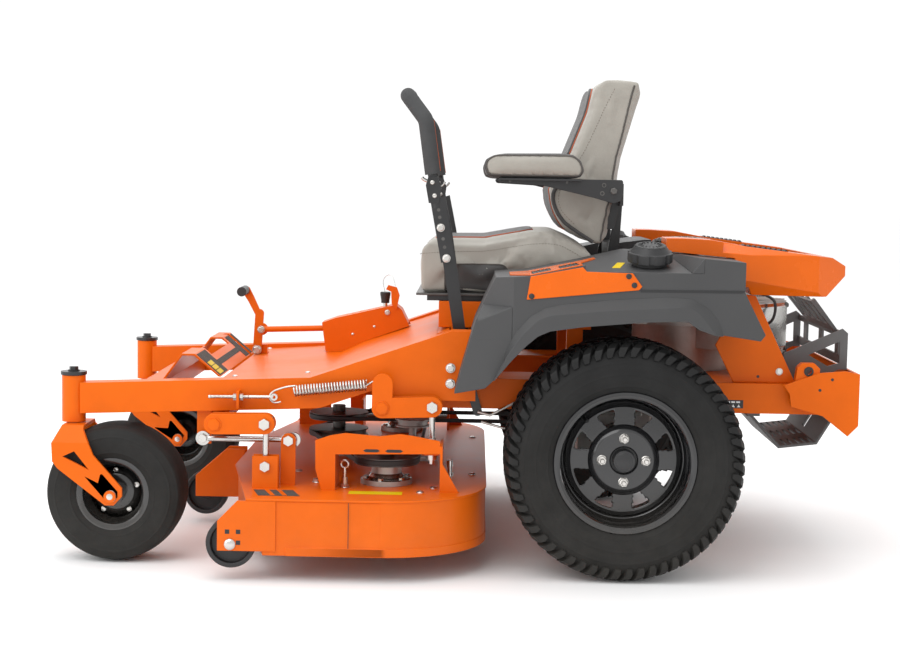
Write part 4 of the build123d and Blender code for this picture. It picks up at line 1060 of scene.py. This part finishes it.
def coil_line(start, end, radius, turns):
    """Points along a coil spring's wire."""
    a, b = Vector(start), Vector(end)
    side, other = square_to(b - a)[1:]
    count = turns * 16
    out = []
    for i in range(count + 1):
        turn_by = 2 * pi * turns * i / count
        out.append(tuple(a.lerp(b, i / count) + (side * cos(turn_by) + other * sin(turn_by)) * radius))
    return out


def ring_line(centre, axis, radius, count):
    """Points round a circle."""
    side, other = square_to(axis)[1:]
    out = []
    for i in range(count):
        a = 2 * pi * i / count
        out.append(tuple(Vector(centre) + (side * cos(a) + other * sin(a)) * radius))
    return out


def shoulder_z(y):
    """Height of the console's sloping shoulder round the fuel cap."""
    return 716.0 + 0.193 * (612.0 - y)


def dress_console(name, s):
    """One console: arch lip, painted step shade, nose, panels, shoulder, trim screws, vents, label and fuel
    cap ribs.
    """
    root = [(288, 484), (279, 528), (259, 571), (225, 611), (189, 632), (152, 641), (27, 654), (-79, 661),
            (-140, 659), (-182, 636), (-206, 604), (-216, 574)]
    brow = [(292, 487), (275, 523), (243, 568), (207, 604), (180, 615), (60, 627), (-78, 636), (-124, 639),
            (-147, 635), (-166, 617), (-198, 576)]
    arch = [(304, 463.5), (265, 510.5), (233, 544.5), (206, 567.5), (179, 579.5), (105, 590.5),
            (-33, 603.5), (-132, 607.5), (-143, 599.5), (-158, 588.5), (-198, 575)]
    edges = [on_side(s * y, line) for line, y in ((root, 612.3), (brow, 626.6), (arch, 626.6), (arch, 604.0))]
    loft("fender_flare_" + name, edges, "plastic", "chassis", 0.8)
    # A thin dark strip along the console's side: painted shade standing for the shadow in the step there.
    plates("fender_step_shade_" + name, [[(-24, 677.5), (-262, 679), (-256, 672.5), (-24, 671)]], s * 612.05,
           s * 612.7, "plastic_dark", "chassis")
    nose = ((330, 557, 636), (262.5, 612.2, 634), (361, 612.2, 556), (262.5, 612.2, 556), (361, 532, 556),
            (347, 545, 604), (349, 612.2, 598))
    hull("console_nose_" + name, nose, s, "plastic", "chassis", 3.0)
    front = ((226.1, 425, 704.0), (270, 425, 700.6), (270, 545, 700.6), (226.1, 600, 704.0))
    rear = ((106.9, 420, 729.1), (70, 420, 738.4), (70, 476, 738.4), (101, 512, 730.6), (106.9, 512, 729.1))
    for label, corners in (("front", front), ("rear", rear)):
        slab("panel_%s_%s" % (label, name), [(x, s * y, z) for x, y, z in corners], 2.3, "hood", "chassis")
    shoulder = ((-100, 414, 754.0), (-168.5, 612.2, 750.0), (-168.5, 612.2, 715.8), (-140, 612.2, 715.8))
    hull("console_shoulder_" + name, shoulder, s, "plastic", "chassis", 1.5)
    screws = [((x, s * 615.4, z), (0, s, 0), 6.5, 3.2) for x, z in ((222, 658), (3, 707), (-10, 687))]
    fixings("trim_screws_" + name, "chassis", screws, "plastic_dark")
    for i, start in enumerate((113, 176)):
        bars = []
        for x in (start + 8.5 * k for k in range(5)):
            z = 729.3 - 0.212 * (x + 5 - 107)
            bars.append([(x + 4, z + 0.1), (x + 8, z + 0.1), (x + 7, z + 2.0), (x + 5, z + 2.2)])
        plates("console_vent_%s_%d" % (name, i), bars, s * 472, s * 583, "plastic_dark", "chassis")
    sticker = [(39, 574), (20, 574), (4, 522), (22, 522)]
    slab("fuel_label_" + name, [(x, s * y, shoulder_z(y)) for x, y in sticker], 0.4, "yellow", "chassis")
    fuel_cap_ribs(name, s)


def fuel_cap_ribs(name, s):
    """Sixteen grip ribs on the crown of a fuel cap, which leans with the console's shoulder."""
    bm = bmesh.new()
    tilt = Matrix.Rotation(-s * 0.1906, 3, "X")
    middle = Vector((-51, s * 540, 729.9))
    up = tilt @ Vector((0, 0, 1))
    for k in range(16):
        a = 2 * pi * (k + 0.5) / 16
        spoke = tilt @ Vector((cos(a), sin(a), 0))
        across = up.cross(spoke)
        foot, top = middle + spoke * 37 + up * 44.6, middle + spoke * 20 + up * 48.1
        ring = [foot + across * 2.2, foot - across * 2.2, top - across * 1.2, top + across * 1.2]
        add_closed(bm, [add_ring(bm, [at(*(p + up * lift)) for p in ring]) for lift in (0, 2.2)])
    finish_piece("fuel_cap_ribs_" + name, bm, "plastic_dark", "chassis", 0.4, 30)


def hood_z(x):
    """Height of the hood's side lids."""
    return 772.0 - 0.1174 * (-296 - x)


def dress_hood():
    """The black grilles on the hood's sides and the wire guard over the engine's debris screen."""
    for name, s in sides():
        corners = [(x, s * y, hood_z(x)) for x, y in ((-288, 330), (-400, 322), (-400, 372), (-288, 378))]
        slab("hood_grille_" + name, corners, 1.2, "plastic_dark", "chassis")
        bars = []
        for x in (-294 - 12.4 * k for k in range(9)):
            z = hood_z(x)
            bars.append([(x, z + 1), (x - 5, hood_z(x - 5) + 1), (x - 4, z + 3.6), (x - 1, z + 4)])
        plates("hood_louvres_" + name, bars, s * 330, s * 368, "plastic_dark", "chassis")
    body = NODES["crankshaft_group"]["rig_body"]
    dome = ((94, 752), (88, 762), (80, 771), (68, 776), (52, 778.5), (34, 780))
    for i, (r, z) in enumerate(dome + ((16, 781),)):
        ring = ring_line((ENGINE.x, 0, z), UP, r, 32)
        tube("screen_ring_%d" % i, ring, 1.3, "dark_steel", body, True, True)
    for i in range(24):
        a = 2 * pi * i / 24
        arc = []
        for r, z in ((95, 744), *dome, (10, 781)):
            twist = a + 0.5 * (94 - r) / 94
            arc.append((ENGINE.x + r * cos(twist), r * sin(twist), z))
        tube("screen_wire_%02d" % i, arc, 1.0, "dark_steel" if i % 3 else "steel", body)


def dress_springs():
    """Real coils, hooks and threaded rods for the lift-assist springs."""
    for name, s in sides():
        y = s * 490
        coil = tube("spring_coil_" + name, coil_line((601, y, 434.5), (772, y, 416), 11.8, 25), 2.3, "zinc",
                    "chassis", False)
        front = ((770, 428), (786, 427), (806, 421), (822, 415), (832, 404), (828, 391), (815, 386),
                 (804, 390))
        hook = tube("spring_front_hook_" + name, on_side(y, front), 2.3, "zinc", "chassis")
        bm = bmesh.new()
        add_lathe(bm, (822, y, 401), (1, 0, -0.0134), bar(4.0, 0, 153), 16)
        thread = [(3.4, -1.2), (4.9, 0), (3.4, 1.2)]
        for t in range(30):
            add_lathe(bm, (880 + 3.1 * t, y, 400.2 - 0.0415 * t), (1, 0, 0), thread, 16)
        for x in (893, 909):
            add_hex(bm, (x, y, 400), (1, 0, 0), 15, 0, 8)
        add_lathe(bm, (820, y, 401), (0, 1, 0), sleeve(4.0, 8.5, -4, 4), 24)
        rod = finish_piece("spring_rod_" + name, bm, "zinc", "chassis")
        for piece in (coil, hook, rod):
            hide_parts("lift_springs")
        rear = ((606, 430), (596, 437), (580, 446), (563, 449), (553, 440), (556, 430), (564, 428))
        link = tube("spring_rear_hook_" + name, on_side(y, rear), 2.3, "zinc", None)
        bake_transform(link)


def dress_shafts():
    """Bolt caps on the ends of the rock shafts."""
    for name, s in sides():
        for body, x, y, z in (("front_rockshaft", 954, 542.1, 341), ("rear_rockshaft", 564, 512.1, 382)):
            bm = bmesh.new()
            add_bolt(bm, (x, s * y, z), (0, s, 0), 26, 6)
            finish_piece("%s_cap_%s" % (body, name), bm, "orange", body, 0, 30)


def dress_deck():
    """The skirt's corners, the roller plates with their bolts, and the flanges of the outer spindles."""
    plates("deck_seams_left", [oblong(627, 82, 628.4, 187)], SKIRT_Y + 0.05, SKIRT_Y + 0.55, "plastic_dark",
           "deck")
    for name, s in sides():
        bracket = [(925, 72), (925, 140), (880, 186.8), (792.5, 186.8), (792.5, 72)]
        plates("roller_plate_" + name, [bracket], s * 672.05, s * 675.2, "orange", "deck", 0.6)
        wrap = bmesh.new()
        rings = []
        for i in range(49):
            a = pi / 2 * (1 + i / 48)
            rings.append(add_ring(wrap, [
                at(SPINDLE_X + r * cos(a), s * (SPINDLE_Y + r * sin(a)), z)
                for r, z in ((236.9, 82.1), (237.7, 82.1), (237.7, 186.9), (236.9, 186.9))]))
        add_closed(wrap, rings)
        finish_piece("skirt_corner_" + name, wrap, "orange", "deck", 0.2, 40)
        holes = [oblong(x - 5, z - 5, x + 5, z + 5) for x, z in ((902, 116), (877, 116), (877, 91))]
        plates("roller_holes_" + name, holes, s * (SKIRT_Y + 0.25), s * (SKIRT_Y + 0.5), "plastic_dark",
               "deck")
        fixings("roller_bolt_" + name, "deck", [((896, s * (SKIRT_Y + 0.2), 87), (0, s, 0), 13.0, 7.0)])
        flange = bmesh.new()
        for k in range(6):
            a = pi / 3 * k + 0.3
            add_bolt(flange, (SPINDLE_X + 51 * cos(a), s * SPINDLE_Y + 51 * sin(a), 204), UP, 13, 7)
        collar = [(36.5, 0), (60, 0), (58, 2.0), (42, 5.0), (36.5, 14)]
        add_lathe(flange, (SPINDLE_X, s * SPINDLE_Y, 204), UP, collar, 48)
        finish_piece("spindle_flange_" + name, flange, "steel", "deck")
    dress_deck_top()


def dress_deck_top():
    """Labels, adjusters, the washout fitting and the carriage bolts on top of the deck."""
    yellow = ((635, 592), (635, 556), (511, 556), (511, 592))
    slab("deck_yellow_label", [(x, y, DECK_Z) for x, y in yellow], 0.4, "yellow", "deck")
    grey = ((858, 560), (766, 560), (742, 632), (838, 632))
    slab("deck_label", [(x, y, DECK_Z) for x, y in grey], 0.5, "grip", "deck")
    for k in range(2):
        x = 832 - 28 * k
        stripe = [(x, 562), (x - 11, 562), (x - 33, 630), (x - 22, 630)]
        slab("deck_label_stripe_%d" % k, [(p, q, DECK_Z + 0.6) for p, q in stripe], 0.3, "orange", "deck")
    bm = bmesh.new()
    for x, y in ((721, 447), (650, 507)):
        add_bolt(bm, (x, y, DECK_Z), UP, 17, 9)
    for radius, height in ((4, 48), (7, 24)):
        add_lathe(bm, (650, 507, DECK_Z), UP, bar(radius, 0, height), 16)
    for z0, z1, radius in ((192, 197, 10), (197, 214, 5), (214, 222, 8.5), (222, 238, 5.5),
                           (238, 252, 7.5)):
        add_lathe(bm, (403, 453, 0), UP, bar(radius, z0, z1), 20)
    for x, y in ((780, 300), (440, 500), (470, 560), (350, 300), (350, -300), (780, -300), (900, 0)):
        add_dome(bm, (x, y, DECK_Z), UP, 9, 5)
    finish_piece("deck_fittings", bm, "zinc", "deck")
    tube("adjuster_eye", ring_line((650, 507, 247), (0.2, 1, 0), 9, 20), 3.0, "zinc", "deck", True, True)


def dress_chassis():
    """Bolts, bushings and the tail label, then what the operator's feet and hands meet, then the rods."""
    for name, s in sides():
        out = (0, s, 0)
        fixings("rail_bolts_" + name, "chassis", [((405, s * 470, z), out, 17) for z in (475, 438)])
        fixings("strut_bolts_" + name, "chassis", [((-392, s * 350, 468), out, 13)])
        dots = [((x, s * y, z), out, bar(3.6, 0, 0.3), 20)
                for x, z, y in ((-341, 455, 350.1), (-482, 430, 400.1), (-511, 456, 400.1))]
        bushing = [(7.2, 0), (11.5, 0), (11.5, 1.6), (10, 2.4), (7.2, 2.4)]
        lathed("tail_bushing_" + name, dots + [((-455, s * 394, 474), out, bushing, 32)], "plastic_dark",
               "chassis")
        floor = [(x, s * y, 424 + (968 - x) * 0.0677) for x in (940, 760) for y in (395, 300)]
        fixings("floor_bolts_" + name, "chassis", [(spot, UP, 7.0, 4.0) for spot in floor])
    plates("tail_label", [oblong(-259, 379, -304, 399)], 371.1, 371.5, "plastic_dark", "chassis")
    marks = [[(x, 381.5), (x - 8, 381.5), (x - 4, 388.5)] for x in (-264, -276, -289)]
    marks += [oblong(x, 392, x - 9, 396) for x in (-263, -275, -287)]
    plates("tail_label_marks", marks, 371.5, 371.8, "white", "chassis")
    dress_footrest()
    dress_controls()


def dress_footrest():
    """Grip pads and yellow marks on the sloping footrest, placed by t down the slope."""
    slope = Vector((-65, 0, -55.8)).normalized()
    face = Vector((-55.8, 0, 65)).normalized()
    pads = [("grip_left", 4, 82, 170, 292), ("grip_right", 4, 82, -232, -170),
            ("grip_far", 4, 82, -292, -268), ("grip_middle", 44, 60, -168, 168)]
    marks = [("mark_%d" % k, 36 + 15 * k, 49 + 15 * k, 226, 284) for k in range(3)]
    for label, t0, t1, y0, y1 in pads + marks:
        material, lift = ("yellow", 1.1) if label.startswith("mark") else ("grip", 0)
        corners = [Vector((1040, y, 480)) + slope * t + face * lift
                   for t, y in ((t0, y0), (t1, y0), (t1, y1), (t0, y1))]
        slab("footrest_" + label, corners, 0.9, material, "chassis")


def dress_controls():
    """The height selector's knob and lanyard, the pedal's nuts, the rods and the seat back's braces."""
    tube("selector_lanyard", [(600, -252, 604), (610, -254, 632), (600, -256, 652), (583, -252, 655),
                              (572, -240, 632), (566, -214, 588)], 0.9, "steel", "chassis")
    knob = [(CORE, 0.2), (11.4, 0.2), (11.8, 8), (14.6, 25), (14.6, 29), (13, 31), (CORE, 31)]
    lathed("selector_knob", [((600, -252, 575), UP, knob, 32)], "plastic_dark", "chassis")
    fixings("selector_bolts", "chassis", [((592, -212, 552), AXLE, 11), ((687, -212, 489), AXLE, 4.0, 1.5),
                                          ((627, -212, 511), AXLE, 4.0, 1.5)])
    fixings("pedal_nut", "chassis", [((957, -241.9, 438), AXLE, 19)])
    fixings("pedal_link_nut", "pedal_link", [((944, -227.9, 496), AXLE, 15)])
    for name, s in sides():
        y = s * 382
        rod = tube("control_rod_" + name, on_side(y, [(339, 360), (309, 352), (247, 385), (210, 392)]), 3.4,
                   "zinc", None, False)
        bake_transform(rod)
        tube("brake_rod_" + name, on_side(y, [(330, 336), (308, 330), (277, 322), (240, 318)]), 3.0, "zinc",
             "chassis", False)
        brace = [(-13, 889), (18, 869), (30, 868), (33, 802), (4, 803), (-6, 860)]
        plates("back_brace_" + name, [brace], s * 197, s * 202, "black", "seat", 0.6)


def dress_guards():
    """Dark slots in the spindle guards."""
    for name, s in sides():
        slots = [[(x0, 287), (x0 + 6, 283.5), (x1 - 6, 283.5), (x1, 287), (x1 - 6, 290.5), (x0 + 6, 290.5)]
                 for x0, x1 in ((565, 604), (511, 553))]
        plates("guard_slots_" + name, slots, s * 551.05, s * 551.4, "plastic_dark", "deck")


def dress_levers():
    """Adjuster bolts and slots, the grips' clamps with their pins and latches, and the grips' seams."""
    for name, s in sides():
        body = "lever_arm_" + name
        y = s * LEVER_Y
        bolts = on_side(s * 350, ((436, 803), (421, 729)))
        fixings("lever_bolts_" + name, body, [(spot, (0, s, 0), 15) for spot in bolts])
        dots = [((x, s * 350.05, z), (0, s, 0), bar(4.2, 0, 0.3), 18)
                for x, z in ((442, 846), (439, 828), (430, 776), (426, 756))]
        lathed("lever_slots_" + name, dots, "dark_steel", body)
        clamp = bmesh.new()
        cheek = [(441, 862), (466, 862), (474, 905), (468, 926), (445, 926), (436, 900)]
        for t in (-12.6, 9.6):
            add_plate(clamp, cheek, y + t, y + t + 3)
        finish_piece("lever_clamp_" + name, clamp, "black", body, 0.5, 30)
        pins = on_side(y + 12.6, ((452, 880), (458, 912)))
        fixings("lever_clamp_pins_" + name, body, [(spot, AXLE, 6.0, 4.0) for spot in pins])
        tube("lever_latch_" + name, on_side(y, [(470, 915), (480, 918), (484, 924)]), 4.2, "steel", body)
        tube("lever_latch_rear_" + name, on_side(y, [(440, 902), (431, 905), (428, 914)]), 3.0, "steel",
             body)
        tube("grip_seam_" + name, [(439.2, y, 940), (457.2, y, 1062)], 1.1, "piping", body, False)


def dress_engine():
    """Fins, valve covers and plug leads of the two cylinders, the shroud's rim, the air cleaner's ribs."""
    for name, s in sides():
        spin = Matrix.Rotation(radians(48 * s), 3, "Z")

        def placed(x, y, z):
            """A point of the cylinder that looks to the rear, turned onto this one."""
            return tuple(spin @ Vector((x, y, z)) + ENGINE)

        bm = bmesh.new()
        for x in (-276 + 11 * k for k in range(7)):
            add_closed(bm, [add_ring(bm, [at(*placed(px, *corner))
                                          for corner in ((-74, -69), (74, -69), (74, 69), (-74, 69))])
                            for px in (x, x + 3)])
        finish_piece("cylinder_fins_" + name, bm, "alloy", "chassis", 0.4, 30)
        cover = bmesh.new()
        corners = ((-1, -1), (1, -1), (1, 1), (-1, 1))
        add_closed(cover, [add_ring(cover, [at(*placed(x, py * y, pz * z)) for py, pz in corners])
                           for x, y, z in ((-285.1, 66, 60), (-291, 66, 60), (-297, 56, 50))])
        finish_piece("valve_cover_" + name, cover, "steel", "chassis", 1.5, 30)
        outward = tuple(spin @ Vector((-1, 0, 0)))
        heads = [(placed(-291, py * 60, pz * 54), outward, 11) for py in (-1, 1) for pz in (-1, 1)]
        fixings("valve_bolts_" + name, "chassis", heads, "dark_steel")
        lead = ((-297, 20, 10), (-312, 20, 14), (-316, 10, 50), (-296, 0, 78), (-240, 0, 84))
        tube("plug_lead_" + name, [placed(*p) for p in lead], 3.6, "rubber", "chassis")
    rim = [(168, 0), (178, 0), (179, 3), (178, 7), (168, 7)]
    lathed("shroud_rim", [((ENGINE.x, 0, 684), UP, rim, 64)], "plastic_dark", "chassis")
    ribs = [[(-14, z), (-70, z + 8), (-70, z + 11), (-14, z + 3)] for z in (716, 732, 748)]
    plates("air_cleaner_ribs", ribs, 140.0, 141.2, "plastic_dark", "chassis")


# ---------------------------------------------------------------- pressed steel, castings and shafts
def bracket_part(x, y, z, normal):
    """Which finish a face of the deck brackets wears: 1 for the zinc bolts."""
    clevis = abs(y) > 542.1 and 815 < x < 853 and 230 < z < 258
    ear = 492.1 < abs(y) < 501 and 768 < x < 803 and z > 280
    roller = z < 105 and (abs(y) > 617 or x > 1040)
    return int(clevis or ear or roller)


def make_structure():
    """The CAD shapes that keep their form: rounded and painted, some with a second finish for pins."""
    painted = ("orange", "zinc")
    for name in ("left", "right"):
        refine("frame_rail_" + name, painted, 2.2, "frame_paint",
               lambda x, y, z, n: int(abs(x - 990) < 14 and z < 312 and abs(y) > 453.1))
        refine("lever_base_" + name, "black", 0.8, "black_paint")
    for row in (
            ("frame_crossmembers", "orange", 1.6, "frame_paint"),
            ("floor_pan", "orange", 1.2, "frame_paint"),
            ("footrest_plate", "orange", 0.8, "floor_plate"),
            ("seat_platform", "orange", 1.5, "frame_paint"),
            ("rear_bumper", "orange", 1.6, "frame_paint"),
            ("engine_guard", "grey", 1.2, "grey_paint"),
            ("rear_step", "grey", 0.8, "grey_paint"),
            ("muffler", "muffler", 6.0, "muffler_steel"),
            ("hydro_transaxles", "alloy", 3.0, "cast_aluminium"),
            ("height_selector", painted, 0.7, "frame_paint",
             lambda x, y, z, n: int(abs(x - 600) < 12 and abs(y + 252) < 12 and (z > 574 or abs(n.z) < 0.1))),
            ("deck_shell", "orange", 1.4, "frame_paint"),
            ("deck_brackets", painted, 1.0, "frame_paint", bracket_part),
            ("hanger_rods", "zinc", 0.6, "bare_steel"),
            ("spindle_housings", "alloy", 1.8, "cast_aluminium"),
            ("deck_belt", "belt", 0.8, "belt_rubber"),
            ("drive_belt", "belt", 0.8, "belt_rubber"),
            ("discharge_chute", "rubber", 1.5, "chute_rubber"),
            ("front_rockshaft", painted, 1.0, "frame_paint", lambda x, y, z, n: int(abs(y) > 542.1)),
            ("rear_rockshaft", painted, 1.0, "frame_paint",
             lambda x, y, z, n: int(abs(y) > 512.1 and x < 470)),
            ("stabilizer_links", "steel", 0.6, "bare_steel"),
            ("lift_pedal", ("orange", "plastic_dark"), 0.8, "frame_paint",
             lambda x, y, z, n: int(abs(x - 992) < 14 and abs(z - 604) < 14 and y > -245.9)),
            ("pedal_link", "orange", 0.8, "bare_steel"),
            ("crankshaft_group", "dark_steel", 1.2, "bare_steel"),
            ("engine_block", ("alloy", "plastic_dark"), 4.0, "cast_aluminium",
             lambda x, y, z, n: int(z > 701 and x > -97 and abs(y) < 141)),
            ("seat_pan", "black", 0.8, "black_paint")):
        refine(*row)
    for name in ("left", "centre", "right"):
        refine("spindle_" + name, "dark_steel", 1.0, "bare_steel")
        refine("blade_" + name, "dark_steel", 0.6, "blade_steel")
        refine("scalp_wheel_" + name, "plastic_dark", 2.0, "roller_plastic")
    for name in ("left", "right"):
        refine("fender_" + name, "plastic", 4.0, "moulded_plastic")
        refine("lever_arm_" + name, ("black", "foam"), 0.8, "lever_steel", lambda x, y, z, n: int(z > 932))
    refine("fender_panels", "hood", 1.2, "frame_paint")
    refine("fuel_caps", "plastic_dark", 3.0, "moulded_plastic")
    refine("engine_hood", "hood", 4.0, "frame_paint")


make_seat()
make_stage()
make_wheels()
make_structure()
for name, side in sides():
    dress_console(name, side)
dress_hood()
dress_springs()
dress_shafts()
dress_deck()
dress_guards()
dress_chassis()
dress_levers()
dress_engine()
